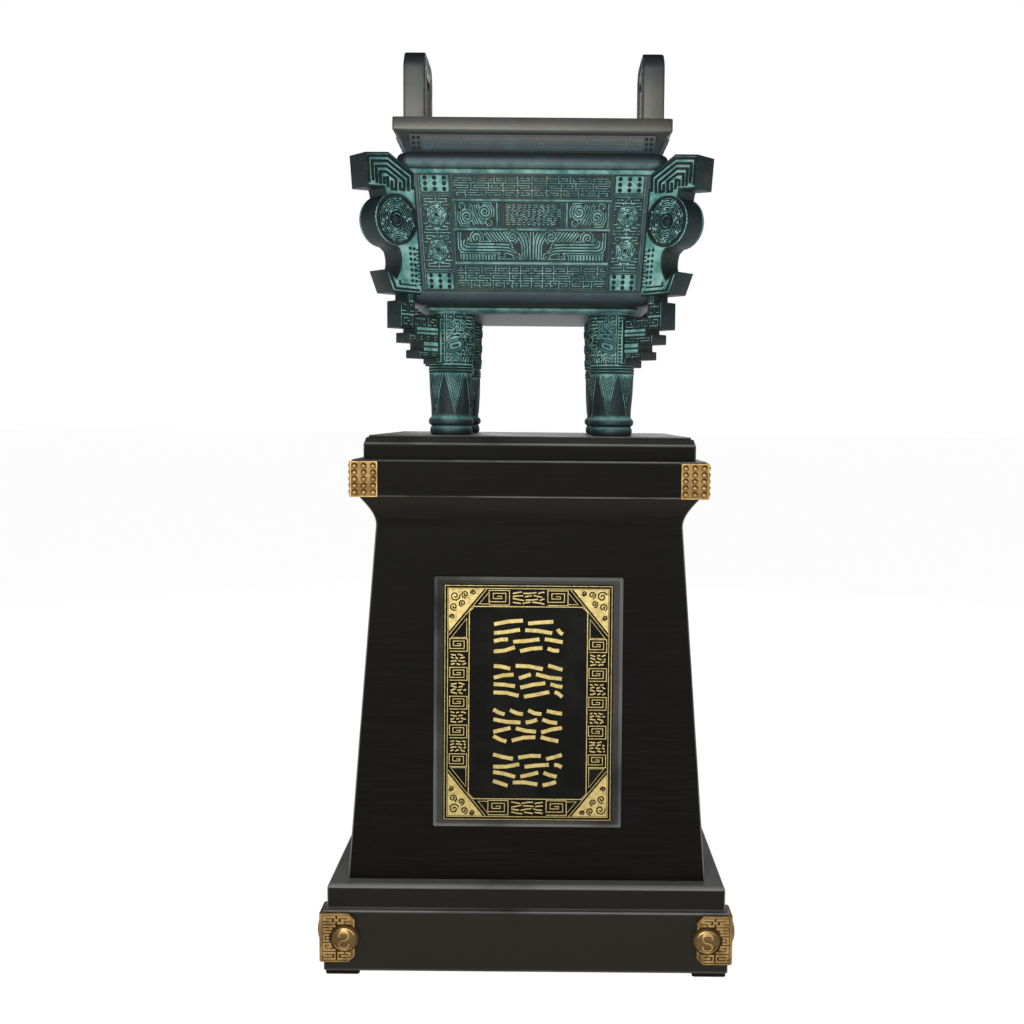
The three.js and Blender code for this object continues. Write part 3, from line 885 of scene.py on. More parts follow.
def flangeOutline():
    path = [(-45, 1211), (24, 1211), (41, 1249), (28, 1246), (16, 1237)]
    for step in range(1, 8):  # the hollow under the disc
        part = step / 8
        s = (1 - part) ** 2 * 16 + 2 * part * (1 - part) * -3 + part ** 2 * 13
        z = (1 - part) ** 2 * 1237 + 2 * part * (1 - part) * 1264 + part ** 2 * 1292
        path.append((s, z))
    path += arc(flange["disc"], flange["discRadius"], -85, 58, 16)
    path += [(42, 1388), (77, 1385.5), (82, 1442), (32, 1450), (-25, 1422), (-60, 1415)]
    return path


diagonals = list(itertools.product((-1, 1), repeat=2))


def diagonalPlace(middle, signX, signY, face=1):
    # s runs out along a diagonal, z up, w off one of its two faces
    start = Vector((signX * middle[0], signY * middle[1], 0))
    out = Vector((signX, signY, 0)).normalized()
    normal = Vector((signY, -signX, 0)).normalized() * face
    return lambda s, z, w: start + out * s + normal * w + Vector((0, 0, z))


def cutPlate(outline, half, rim, sink, place):
    # a thick plate with a sunk field on both faces
    bm = newPart()
    face = bm.faces.new([bm.verts.new((s, z, -half)) for s, z in outline])
    lifted = newVerts(bmesh.ops.extrude_face_region(bm, geom=[face]))
    bmesh.ops.translate(bm, vec=(0, 0, 2 * half), verts=lifted)
    bmesh.ops.recalc_face_normals(bm, faces=bm.faces)
    bm.normal_update()
    tint(bm, bm.verts, 1.0, 0.12)
    edges = [e for e in bm.edges if e.calc_face_angle(0) > 0.9]
    bmesh.ops.bevel(bm, geom=edges, offset=1.4, segments=2, profile=0.5, affect="EDGES", material=-1)
    bm.normal_update()
    fields = sorted(bm.faces, key=lambda f: f.calc_area())[-2:]
    bmesh.ops.inset_individual(bm, faces=fields, thickness=rim, depth=-sink, use_even_offset=True)
    for field in fields:
        tint(bm, field.verts, 0.0)
    for vert in bm.verts:
        vert.co = place(*vert.co)
    bmesh.ops.recalc_face_normals(bm, faces=bm.faces)
    return bm


def flangeCarving(bm, place, rng):
    sink = -flange["sink"] - 0.4
    top = 1.2
    off = flange["half"]
    at = lambda s, z, w: place(s, z, off + w)
    ridges = [
        [(73, 1392), (76.5, 1436.5), (33, 1443), (-20, 1418), (-20, 1393)],
        [(65, 1396), (67.5, 1429), (35, 1434), (-11, 1412), (-11, 1389)],
        [(57, 1393), (59, 1421.5), (36, 1425), (-2, 1406), (-2, 1390), (7, 1390), (7, 1402)],
        [(49, 1393), (50.5, 1413.5), (37, 1415.5), (16, 1406), (16, 1388), (25, 1388), (25, 1402)],
        [(33, 1390), (34, 1406), (41.5, 1404), (41, 1394)],
    ]
    for path in ridges:
        stroke(bm, path, 5, sink, top, at, 1.0, 0.06, draft=0.78)
    stroke(bm, [(-27, 1399), (-44, 1220)], 6, sink, top, at, 1.0, 0.2, draft=0.8)  # beside the wall
    stroke(bm, [(30, 1244.5), (17, 1218), (-36, 1218)], 4.4, sink, top, at, 1.0, 0.1, draft=0.8)
    stroke(bm, [(8, 1233), (7, 1226), (-30, 1226)], 3, sink, top - 0.4, at)
    disc = flange["disc"]
    reach = flange["discRadius"]
    onDisc = lambda s, z, w: at(disc[0] + s, disc[1] + z, w)
    roundGround(bm, onDisc, reach, sink, 0.3, 0.05)
    labyrinth(bm, onDisc, 12.5, reach - 5.5, 3.9, -0.6, 2.0, rng)
    stroke(bm, arc(disc, reach - 3, 0, 350, 35), 5.4, sink, 3.4, at, 1.0, 0.15, loop=True)
    stroke(bm, arc(disc, 12, 0, 340, 17), 2.6, sink, 3, at, 1.0, 0.1, loop=True)
    stud(bm, at, disc[0], disc[1], 9.5, 0.5, 5.2, 1.0, 0.15)

    def innerEdge(z):
        return (z - 1220) * 17 / 179 - 44

    for row in range(7):
        z = 1234 + 9.4 * row
        for column in range(2):
            stud(bm, at, innerEdge(z) + 13 + 9 * column, z, 3, -0.8, 1.6)
    for row in range(11):
        z = 1228 + 6.1 * row
        stroke(bm, [(innerEdge(z) + 4.5, z), (innerEdge(z) + 8, z)], 2.6, sink, top - 0.5, at)


def makeFlanges():
    bm = newPart()
    rng = random.Random(11)
    for signX, signY in diagonals:
        pour(bm, cutPlate(flangeOutline(), flange["half"], flange["rim"], flange["sink"],
                          diagonalPlace(flange["corner"], signX, signY)))
        for face in (-1, 1):
            flangeCarving(bm, diagonalPlace(flange["corner"], signX, signY, face), rng)
    finishPiece(bm, "corner_flanges", [bronze], ["ding_vessel"], 30)


# legs: ringed columns with a mask, hanging blades and a toothed flange

leg = {
    "centre": (150, 116),
    "sides": 64,
    "mask": (1091, 1181),
    "blades": 6,
    "bladeTop": 1073,
    "bladeTip": 1004,
    "bladeWidth": 33,
    "flangeHalf": 19.5,
    "eyeHeight": 1123.6,
    "teeth": [(52, 1089.6, 1098.6), (92.5, 1098.6, 1113.8), (83, 1113.8, 1125.5), (115, 1125.5, 1143.5),
              (99, 1143.5, 1151), (135, 1151, 1199), (117, 1199, 1216)],
    "tongue": 101,
    "armTop": 1175,
    "rim": 2.6,
    "sink": 1.5,
    # spiral fields of the flange: out from and to, up from and to, half columns, rows
    "frets": [(47.5, 131.5, 1153.5, 1172.8, 14, 7), (47.5, 111.5, 1128, 1141.5, 12, 5),
              (47.5, 89.5, 1101, 1111.8, 8, 5), (104, 131.5, 1176, 1196.5, 6, 7),
              (104, 114, 1199, 1213, 3, 5)],
    "bars": [[(46, 1094), (46, 1172)], [(50, 1147), (96, 1147)], [(50, 1119.5), (80, 1119.5)]],
}

# radius, height, polish, relief; low relief on the foot rings' upper slopes gives pale patina that also
# stands in as a painted highlight
legProfile = [
    (36, 960, 0.2, 1), (38.6, 962, 0.5, 0.9), (39.6, 966, 0.6, 0.8), (39.4, 970.5, 0.5, 0.5),
    (38, 974.5, 0.2, 0.3), (36.6, 976.4, 0, 0.6), (38.6, 978, 0.3, 1), (41.2, 980.2, 0.6, 1),
    (42.2, 983.6, 0.7, 0.9), (41.8, 987.4, 0.5, 0.5), (39.6, 990.8, 0.1, 0.2), (37, 993, 0, 0.4),
    (37, 998, 0.1, 0.7), (37.4, 1010, 0.1, 1), (37.8, 1020, 0.1, 1), (38.1, 1030, 0.1, 1),
    (38.5, 1041, 0.1, 1), (38.9, 1052, 0.1, 1), (39.3, 1063, 0.1, 1), (39.6, 1072.6, 0, 0.4),
    (41.8, 1073.8, 0.1, 0.5), (42.4, 1075.6, 0.1, 1), (41.6, 1077.4, 0.1, 1), (40.6, 1078.2, 0, 0.2),
    (42, 1079.2, 0.1, 0.6), (42.6, 1081, 0.1, 1), (41.8, 1082.8, 0.1, 1), (40.6, 1083.6, 0, 0.2),
    (41.8, 1084.6, 0.1, 0.6), (42.2, 1086, 0.1, 1), (41.2, 1087.6, 0, 0.8), (40.2, 1088.6, 0, 0.3),
    (42, 1135, 0, 0.5), (43.5, 1186, 0, 0.5),
]


def legPlace(signX, signY):
    # u is millimetres round the column from the flange's side, z up, w off its skin
    centre = Vector((signX * leg["centre"][0], signY * leg["centre"][1], 0))
    start = math.atan2(signY, signX)

    def place(u, z, w):
        if z < 1073:
            skin = 37 + 2.6 * (z - 993.5) / 79.5
        else:
            skin = 40.4 + 3.1 * (z - 1088) / 98
        angle = start + u / 40
        return centre + Vector(((skin + w) * math.cos(angle), (skin + w) * math.sin(angle), z))

    return place


def bladeSpot(u, z):
    # how far inside a hanging blade a point of the column is, 1 inside and 0 outside
    pitch = 80 * math.pi / leg["blades"]
    across = abs((u + pitch / 2) % pitch - pitch / 2)
    part = (z - leg["bladeTip"]) / (leg["bladeTop"] - leg["bladeTip"])
    return 1.0 if 0 < part <= 1.01 and across < part * leg["bladeWidth"] / 2 else 0.0


def legColumn(signX, signY):
    bm = newPart()
    polishLayer = bm.verts.layers.float["polishAndSheen"]
    reliefLayer = bm.verts.layers.float["relief"]
    chain = []
    for radius, z, polishAndSheen, relief in legProfile:
        vert = bm.verts.new((radius, 0, z))
        vert[polishLayer] = polishAndSheen
        vert[reliefLayer] = relief
        if chain:
            bm.edges.new((chain[-1], vert))
        chain.append(vert)
    bmesh.ops.spin(bm, geom=bm.verts[:] + bm.edges[:], cent=(0, 0, 0), axis=(0, 0, 1), dvec=(0, 0, 0),
                   angle=2 * math.pi, steps=leg["sides"], use_merge=True)
    rims = [e for e in bm.edges if e.is_boundary]
    bmesh.ops.holes_fill(bm, edges=rims, sides=0)
    for vert in bm.verts:
        if 998 < vert.co.z < 1074:
            around = math.atan2(vert.co.y, vert.co.x)
            inside = bladeSpot(40 * around, vert.co.z)
            streak = 0.35 * max(0, math.sin(5 * around + 0.7)) ** 2
            vert[reliefLayer] *= 1 - max(0.3 * inside, streak)
            vert[polishLayer] *= 1 - inside
    start = math.atan2(signY, signX)
    bmesh.ops.rotate(bm, cent=(0, 0, 0), matrix=Matrix.Rotation(start, 3, "Z"), verts=bm.verts)
    bmesh.ops.translate(bm, vec=(signX * leg["centre"][0], signY * leg["centre"][1], 0), verts=bm.verts)
    bmesh.ops.recalc_face_normals(bm, faces=bm.faces)
    return bm


def oblong(centre, length, height, tilt, steps=6):
    # a slanted eye with round ends
    lean = math.radians(tilt)
    ends = arc((length - height, 0), height, -90, 90, steps)
    ends += arc((height - length, 0), height, 90, 270, steps)
    cosine = math.cos(lean)
    sine = math.sin(lean)
    return [(centre[0] + a * cosine - b * sine, centre[1] + a * sine + b * cosine) for a, b in ends]


def maskLines():
    # half of a mask, u away from the flange and v up from the eye
    lines = [[(25, -31), (25, 56)], [(28, 9), (32, 15), (40, 18), (50, 17), (57, 11)],
             [(29, 18), (36, 24), (46, 26), (56, 23), (63, 15)], [(30, 48), (64, 48)], [(30, 54), (82, 54)],
             [(60, 4), (66, -4), (64, -14)], [(58, -6), (62, -16), (58, -26)], [(30, -14), (32, -8)],
             [(54, -30), (54, -20), (64, -20), (64, -30)], [(70, -30), (70, -22), (84, -22), (84, -30)],
             [(88, -30), (122, -30)], [(88, 54), (122, 54)], [(70, 42), (80, 46), (88, 42), (88, 34)]]
    lines += [arc((41, -27), 11, 15, 165, 8), arc((41, -29), 6, 0, 180, 6)]
    curls = [(35, 37, 7, 270, 1), (54, 37, 8, 270, -1), (72, 28, 7.5, 200, 1), (75, -8, 8, 90, -1),
             (77, 12, 6, 270, 1), (100, 38, 9, 0, 1), (114, 20, 8, 180, -1), (97, 8, 8, 90, 1),
             (113, -10, 8, 0, -1), (96, -18, 7, 180, 1)]
    return lines + [curl((u, v), reach, 1.6, start, hand) for u, v, reach, start, hand in curls]


def legCarving(bm, signX, signY, rng):
    place = legPlace(signX, signY)
    around = 40 * math.pi
    low, high = leg["mask"]
    columns, rows, spiral = thunder(58, 5, 5, rng, (5, 7, 9))

    def raised(i, j):
        u = ((i + 0.5) / columns - 0.5) * 2 * around
        z = low + (j + 0.5) / rows * (high - low)
        return spiral(i, j) and math.hypot((abs(u) - 42) / 19, (z - leg["eyeHeight"]) / 13) > 1

    carpet(bm, columns, rows, raised, box(place, -around, around, low, high), 0.2, 1.6, seam=True)
    for side in (-1, 1):
        at = lambda u, v, w: place(side * u, leg["eyeHeight"] + v, w)
        for path in maskLines():
            halo(bm, path, 2, at, 1.75)
            stroke(bm, path, 2.6, -0.6, 2.9, at)
        for length, height, width, rise in ((13, 7, 2.8, 3.4), (17.5, 11, 2.2, 2.6)):
            eye = oblong((42, 0), length, height, 18)
            halo(bm, eye, width + 1, at, 0.6)
            stroke(bm, eye, width, -0.5, rise, at, 1.0, 0.1, loop=True)
        stroke(bm, [(37, -1.7), (47, 1.7)], 5, -0.5, 3, at, 1.0, 0.2)
    pitch = 2 * around / leg["blades"]
    top = leg["bladeTop"] - 1
    tip = leg["bladeTip"]
    half = leg["bladeWidth"] / 2
    for blade in range(leg["blades"]):
        middle = (blade + 1) * pitch - around
        at = lambda u, z, w: place(middle + u, z, w)
        down = [(-half, top), (-half / 2, (top + tip) / 2), (0, tip - 1)]
        edge = down + mirrored(down[1::-1])
        halo(bm, edge, 1.8, at, 0.4)
        stroke(bm, edge, 2.4, -0.4, 1.6, at)
        for number in range(8):
            z = top - 3 - 7 * number
            reach = half * (z - tip) / (top - tip) * 0.74
            barb = [(-reach, z + 2), (0, z - 4), (reach, z + 2)]
            halo(bm, barb, 0.2, at, 0.35)
            stroke(bm, barb, 1.9, -0.4, 1.2, at)


def legFlangeOutline():
    outer = []
    for out, bottom, top in leg["teeth"]:
        outer += [(out, bottom), (out, top)]
    inner = [(leg["tongue"], outer[-1][1]), (leg["tongue"], leg["armTop"]), (20, leg["armTop"])]
    return [(20, outer[0][1])] + outer + inner


def legFlangeCarving(bm, place, flip, rng):
    off = leg["flangeHalf"]
    at = lambda s, z, w: place(s, z, off + w)
    for s0, s1, z0, z1, half, tall in leg["frets"]:
        columns, rows, raised = thunder(half, 1, tall, rng, (5, 7))
        carpet(bm, columns, rows, raised, box(at, s0, s1, z0, z1), -1.3, 0.9, flip=flip)
    for path in leg["bars"]:
        stroke(bm, path, 3.4, -2, 1, at, 1.0, 0.15)


def makeLegs():
    bm = newPart()
    rng = random.Random(5)
    for signX, signY in diagonals:
        pour(bm, legColumn(signX, signY))
        legCarving(bm, signX, signY, rng)
        pour(bm, cutPlate(legFlangeOutline(), leg["flangeHalf"], leg["rim"], leg["sink"],
                          diagonalPlace(leg["centre"], signX, signY)))
        for face in (-1, 1):
            legFlangeCarving(bm, diagonalPlace(leg["centre"], signX, signY, face), face < 0, rng)
    finishPiece(bm, "masked_legs", [bronze], ["ding_vessel"], 32)


# ears: two upright arches on the rim

ear = {
    "x": (204.5, 244.5),
    "half": 70,
    "top": 1680,
    "round": 33,
    "holeHalf": 34,
    "holeTop": 1641,
    "holeRound": 16,
    "foot": 1516,
}


def archPath(half, top, radius, foot, steps=7):
    left = [(-half, foot)] + arc((-(half - radius), top - radius), radius, 180, 90, steps)
    return left + [(-u, v) for u, v in reversed(left)]


def makeEars():
    bm = newPart()
    for side in (-1, 1):
        arch = newPart()
        loops = []
        for half, top, radius in ((ear["half"], ear["top"], ear["round"]),
                                  (ear["holeHalf"], ear["holeTop"], ear["holeRound"])):
            verts = [arch.verts.new((0, y, z)) for y, z in archPath(half, top, radius, ear["foot"])]
            loops += [arch.edges.new(pair) for pair in zip(verts, verts[1:])]
        bmesh.ops.bridge_loops(arch, edges=loops)
        lifted = newVerts(bmesh.ops.extrude_face_region(arch, geom=arch.faces[:]))
        bmesh.ops.translate(arch, vec=(ear["x"][1] - ear["x"][0], 0, 0), verts=lifted)
        bmesh.ops.translate(arch, vec=(ear["x"][0], 0, 0), verts=arch.verts)
        tint(arch, arch.verts, 0.95, 0.85)
        bmesh.ops.recalc_face_normals(arch, faces=arch.faces)
        above = [e for e in arch.edges if e.verts[0].co.z + e.verts[1].co.z > 2 * ear["foot"] + 4]
        edges = [e for e in above if e.calc_face_angle(0) > 1.0]
        bmesh.ops.bevel(arch, geom=edges, offset=3.2, segments=3, profile=0.5, affect="EDGES", material=-1)
        bmesh.ops.scale(arch, vec=(side, 1, 1), verts=arch.verts)
        bmesh.ops.recalc_face_normals(arch, faces=arch.faces)
        pour(bm, arch)
        for face in (0, 1):
            x = side * ear["x"][face]
            out = side * (1 if face else -1)
            at = lambda u, v, w: Vector((x + out * w, u, v))
            for inset in (8, 28):
                path = archPath(ear["half"] - inset, ear["top"] - inset, ear["round"] - inset * 0.45, 1521)
                stroke(bm, path, 3.4, -0.8, 1.1, at, 0.9, 0.6)
            for number in range(6):
                for hand in (-1, 1):
                    scroll = curl((hand * 52, 1534 + 17 * number), 6.4, 1.4, 90, hand * (-1) ** number, 10)
                    stroke(bm, scroll, 2.2, -0.8, 0.9, at, 0.9, 0.45)
            for number in range(-2, 3):
                scroll = curl((16 * number, 1661), 6.4, 1.4, 0, (-1) ** number, 10)
                stroke(bm, scroll, 2.2, -0.8, 0.9, at, 0.9, 0.45)
    finishPiece(bm, "upright_ears", [bronze], ["ding_vessel"], 34)


makeShell()
makeWalls()
makeFlanges()
makeLegs()
makeEars()


# plinth: lacquered blocks

plinth = {
    "base": (360, 310, 7.5, 119),
    "step": (354, 304, 119, 164.5),
    "shaftFoot": (321, 278, 164.5),
    "shaftHead": (273.5, 246, 800),
    "neckHead": (300, 269, 852),
    "slab": (311, 277, 852, 918),
    "cap": (293, 259, 918, 960),
    "capLedge": 946,
}


def plinthBlocks():
    # rows of each block for loft, with wear and a painted edge highlight only along its edges
    blocks = {}
    x, y, low, high = plinth["base"]
    # relief 1 on the base and 0.6 on the step is painted light from the floor
    blocks["plinth_base"] = [(x - 2, y - 2, low, 1.5, 1, 0), (x, y, low + 2, 2.5, 1, 0.3),
                             (x, y, low + 5, 2.5, 1, 0), (x, y, high - 5, 2.5, 1, 0),
                             (x, y, high - 3, 2.5, 1, 0.25), (x - 0.9, y - 0.9, high - 0.9, 2.5, 1, 1),
                             (x - 3, y - 3, high, 2.5, 1, 0.3)]
    x, y, low, high = plinth["step"]
    rows = [(x - 1, y - 1, low, 2, 0.6, 0), (x, y, low + 1.5, 2.5, 0.6, 0.3), (x, y, low + 5, 2.5, 0.6, 0),
            (x, y, high - 8, 2.5, 0.6, 0)]
    for half, z in rounded(0, high - 8, 8, 8, 15, 90, 7):
        rows.append((x - 8 + half, y - 8 + half, z, 3, 0.6, 0.75 if z > high - 7 else 0))
    blocks["plinth_step"] = rows
    fx, fy, low = plinth["shaftFoot"]
    hx, hy, high = plinth["shaftHead"]
    blocks["plinth_shaft"] = [(fx, fy, low, 3, 0, 0), (hx, hy, high, 3, 0, 0)]
    nx, ny, top = plinth["neckHead"]
    rows = []
    # relief rises up the flare: the same painted floor light on its downward face
    for step in range(13):
        part = step / 12
        flare = 1 - math.cos(part * math.pi / 2)
        rows.append((hx + (nx - hx) * flare, hy + (ny - hy) * flare, high + (top - high) * part,
                     3, 0.8 * part, 0))
    blocks["plinth_neck"] = rows
    x, y, low, high = plinth["slab"]
    blocks["plinth_slab"] = [(x - 1.5, y - 1.5, low, 2, 0, 0), (x, y, low + 1.5, 2.5, 0, 0.6),
                             (x, y, low + 4, 2.5, 0, 0), (x, y, high - 4.5, 2.5, 0, 0),
                             (x, y, high - 2.5, 2.5, 0, 0.3), (x - 0.8, y - 0.8, high - 0.8, 2.5, 0, 1),
                             (x - 2.5, y - 2.5, high, 2.5, 0, 0.2)]
    x, y, low, high = plinth["cap"]
    ledge = plinth["capLedge"]
    blocks["plinth_cap"] = [(x, y, low, 3, 0, 0), (x, y, ledge - 4, 3, 0, 0), (x, y, ledge - 1.5, 3, 0, 0.3),
                            (x - 0.6, y - 0.6, ledge, 3, 0, 1), (x - 1.4, y - 1.4, ledge + 2, 3, 0, 0.1),
                            (x - 4, y - 4, 956, 3, 0, 0.1), (x - 8, y - 8, 956.6, 3, 0, 0.1),
                            (x - 8, y - 8, 958.4, 3, 0, 0.2), (x - 9, y - 9, 960, 3, 0, 1)]
    return blocks


for name, rows in plinthBlocks().items():
    block = loft(rows, 4, 0.9)
    finishPiece(block, "lacquered_" + name[7:], [lacquer], [name], 28, True)


feet = {"size": 60, "inset": 3, "height": 7.5}
signs = {"front": -1, "back": 1, "left": -1, "right": 1}
corners = [(end, hand) for end in ("front", "back") for hand in ("left", "right")]

bm = newPart()
footNodes = [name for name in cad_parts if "foot" in name]
footHalf = feet["size"] / 2
footX, footY = (half - footHalf - feet["inset"] for half in plinth["base"][:2])
for end, hand in corners:
    part = loft([(footHalf - 1, footHalf - 1, 0, 3, 0, 0), (footHalf, footHalf, 1, 4, 0, 0),
                 (footHalf, footHalf, feet["height"], 4, 0, 0)])
    bmesh.ops.translate(part, vec=(signs[hand] * footX, signs[end] * footY, 0), verts=part.verts)
    pour(bm, part)
finishPiece(bm, "plinth_feet", [lacquer], footNodes, 28, True)


# brass corner plates

upperBrass = {"width": 46, "thick": 2.5, "low": 852, "high": 915.5, "rows": 5, "columns": 3, "stud": 5.6}
lowerBrass = {"width": 57, "thick": 5, "low": 26, "high": 116, "cut": 12, "inset": 2.2, "fret": (5, 54),
              "dome": 25.6, "rise": 11, "domeAt": 39, "domeZ": 71}


def cornerPlate(size, halfX, halfY, end, hand, cut=0):
    # an L of sheet round one corner, outer face proud by its thickness
    width = size["width"]
    thick = size["thick"]
    bm = newPart()
    plan = [(thick, thick), (thick, -width), (0, -width), (0, 0), (-width, 0), (-width, thick)]
    face = bm.faces.new([bm.verts.new((x, y, size["low"])) for x, y in plan])
    lifted = newVerts(bmesh.ops.extrude_face_region(bm, geom=[face]))
    bmesh.ops.translate(bm, vec=(0, 0, size["high"] - size["low"]), verts=lifted)
    bmesh.ops.recalc_face_normals(bm, faces=bm.faces)
    tint(bm, bm.verts, 0.55)
    if cut:
        level = [e for e in bm.edges if abs(e.verts[0].co.z - e.verts[1].co.z) < 0.1]
        short = [e for e in level if e.calc_length() < thick + 0.1]
        ends = [e for e in short if min(min(vert.co.xy) for vert in e.verts) < -width + 0.1]
        bmesh.ops.bevel(bm, geom=ends, offset=cut, segments=1, profile=0.5, affect="EDGES", material=-1)
    rims = [e for e in bm.edges if e.calc_face_angle(0) > 0.6]
    bmesh.ops.bevel(bm, geom=rims, offset=0.7, segments=2, profile=0.5, affect="EDGES", material=-1)
    bmesh.ops.scale(bm, vec=(signs[hand], signs[end], 1), verts=bm.verts)
    bmesh.ops.translate(bm, vec=(signs[hand] * halfX, signs[end] * halfY, 0), verts=bm.verts)
    bmesh.ops.recalc_face_normals(bm, faces=bm.faces)
    return bm


def plateFaces(halfX, halfY, thick, end, hand):
    # u runs from the corner along each outer face, z up, w outward
    x = signs[hand] * halfX
    y = signs[end] * halfY
    front = lambda u, z, w: Vector((x + signs[hand] * (thick - u), y + signs[end] * (thick + w), z))
    flank = lambda u, z, w: Vector((x + signs[hand] * (thick + w), y + signs[end] * (thick - u), z))
    return front, flank


def makeStuddedCorner(end, hand):
    size = upperBrass
    halfX, halfY = plinth["slab"][:2]
    bm = cornerPlate(size, halfX, halfY, end, hand)
    for place in plateFaces(halfX, halfY, size["thick"], end, hand):
        wide = size["width"] + size["thick"]
        frameBox(bm, place, 1.6, wide - 1.6, size["low"] + 1.6, size["high"] - 1.6, 2.2, -0.4, 1.3)
        for column in range(size["columns"]):
            for row in range(size["rows"]):
                u = wide * (column + 0.5) / size["columns"]
                z = size["low"] + 3 + (size["high"] - size["low"] - 6) * (row + 0.5) / size["rows"]
                stud(bm, place, u, z, size["stud"], 0, 4.2)
    finishPiece(bm, "studded_corner_%s_%s" % (end, hand), [brass],
                ["brass_studded_corner_%s_%s" % (end, hand)], 30)


def makeBossCorner(end, hand):
    size = lowerBrass
    halfX, halfY = plinth["base"][:2]
    bm = cornerPlate(size, halfX, halfY, end, hand, size["cut"])
    tint(bm, bm.verts, 0.45)
    wide = size["width"] + size["thick"]
    low = size["low"]
    high = size["high"]
    inset = size["inset"]
    slant = size["cut"] + inset * 0.4
    rim = [(inset, low + inset), (wide - slant, low + inset), (wide - inset, low + slant),
           (wide - inset, high - slant), (wide - slant, high - inset), (inset, high - inset)]
    middle = (size["domeAt"] + size["thick"], size["domeZ"])
    first, last = size["fret"]
    rng = random.Random(17)
    for place in plateFaces(halfX, halfY, size["thick"], end, hand):
        stroke(bm, rim, 2.6, -0.5, 1.4, place, 1.0, loop=True)
        bossDome(bm, place, middle, size)
        columns, rows, spiral = thunder(9, 5, 5, rng, (5, 7))

        def raised(i, j):
            # no spirals under the dome
            u = first + (last - first) * (i + 0.5) / columns
            z = low + 5 + (high - low - 10) * (j + 0.5) / rows
            return spiral(i, j) and math.hypot(u - middle[0], z - middle[1]) > size["dome"] + 2

        carpet(bm, columns, rows, raised, box(place, first, last, low + 5, high - 5), 0.15, 1.5)
    finishPiece(bm, "boss_corner_%s_%s" % (end, hand), [brass],
                ["brass_boss_corner_%s_%s" % (end, hand)], 30)


def bossDome(bm, place, middle, size):
    # a low dome with a rim, an S scroll and two pairs of bows
    radius = size["dome"]
    dome = newPart()
    chain = []
    for step in range(9):
        angle = math.radians(90 * step / 8)
        chain.append(dome.verts.new((radius * math.cos(angle), 0, size["rise"] * math.sin(angle) - 1)))
    for pair in zip(chain, chain[1:]):
        dome.edges.new(pair)
    bmesh.ops.spin(dome, geom=dome.verts[:] + dome.edges[:], cent=(0, 0, 0), axis=(0, 0, 1), dvec=(0, 0, 0),
                   angle=2 * math.pi, steps=32, use_merge=True)
    bmesh.ops.remove_doubles(dome, verts=dome.verts, dist=0.01)
    bmesh.ops.holes_fill(dome, edges=[e for e in dome.edges if e.is_boundary], sides=0)
    tint(dome, dome.verts, 0.35)
    for vert in dome.verts:
        vert.co = place(middle[0] + vert.co.x, middle[1] + vert.co.y, vert.co.z)
    bmesh.ops.recalc_face_normals(dome, faces=dome.faces)
    pour(bm, dome)

    def onDome(u, v, w):
        part = min(math.hypot(u, v) / radius, 1)
        return place(middle[0] + u, middle[1] + v, size["rise"] * math.sqrt(1 - part * part) - 1 + w)

    stroke(bm, arc((0, 0), radius - 0.6, 0, 350, 35), 2.6, -1.5, 1.6, onDome, 1.0, loop=True)
    scroll = arc((0, 8.5), 8.5, 200, -90, 14) + arc((0, -8.5), 8.5, 90, 380, 14)[1:]
    stroke(bm, scroll, 4, -0.8, 1.6, onDome)
    for start in (25, 205):
        stroke(bm, arc((0, 0), 19.5, start, start + 110, 10), 3, -0.8, 1.4, onDome)
        stroke(bm, arc((0, 0), 13.5, start + 25, start + 95, 8), 2.4, -0.8, 1.2, onDome)


for end, hand in corners:
    makeStuddedCorner(end, hand)
    makeBossCorner(end, hand)


# plaque on the sloping front: bevelled board, dark plate and gilt strokes

plaque = {
    "middle": 486,
    "board": (168, 224, 9, 6),
    "plate": (150.5, 211.5, 2.4),
    "gap": 0.3,
    "lines": ((2.5, 1.3), (7.5, 1.5)),   # inset and width of the border's lines
    "field": (105, 172),
    "cut": 9,
    "run": 116,
    "blocks": 9,
    "corner": 9,
    "patch": (62, 76),
    "cornerCurls": ((11, 12, 9.5), (29, 9, 7), (9, 31, 7.5), (24, 25, 6.5), (43, 6, 5), (6, 49, 5)),
    "groups": 4,
    "groupPitch": 80,
    "groupSize": (122, 64),
}


def plaquePlace():
    foot = plinth["shaftFoot"]
    head = plinth["shaftHead"]
    lean = math.atan2(foot[1] - head[1], head[2] - foot[2])
    part = (plaque["middle"] - foot[2]) / (head[2] - foot[2])
    front = -(foot[1] + (head[1] - foot[1]) * part)
    up = Vector((0, math.sin(lean), math.cos(lean)))
    out = Vector((0, -math.cos(lean), math.sin(lean)))
    start = Vector((0, front, plaque["middle"]))
    return lambda u, v, w: start + Vector((u, 0, 0)) + up * v + out * w


def slabOn(place, halfU, halfV, low, high, bevel, corner=3):
    # polish on the bevel rows is edge wear with a painted highlight
    rows = [(halfU, halfV, low, corner, 0, 0), (halfU, halfV, high - bevel * 0.7, corner, 0, 0.6),
            (halfU - bevel, halfV - bevel, high - 0.4, corner, 0, 0.5),
            (halfU - bevel - 0.5, halfV - bevel - 0.5, high, corner, 0, 0.2)]
    bm = loft(rows, 4)
    for vert in bm.verts:
        vert.co = place(*vert.co)
    bmesh.ops.recalc_face_normals(bm, faces=bm.faces)
    return bm


onShaft = plaquePlace()
boardHalfU, boardHalfV, boardThick, boardBevel = plaque["board"]
board = slabOn(onShaft, boardHalfU, boardHalfV, plaque["gap"], plaque["gap"] + boardThick, boardBevel)
finishPiece(board, "plaque_board_lacquered", [lacquer], ["plaque_board"], 20, True)


def goldLine(bm, place, path, width=1.5, rise=0.7, loop=False, draft=0.72):
    stroke(bm, path, width, 0, rise, place, loop=loop, draft=draft, finish=1)


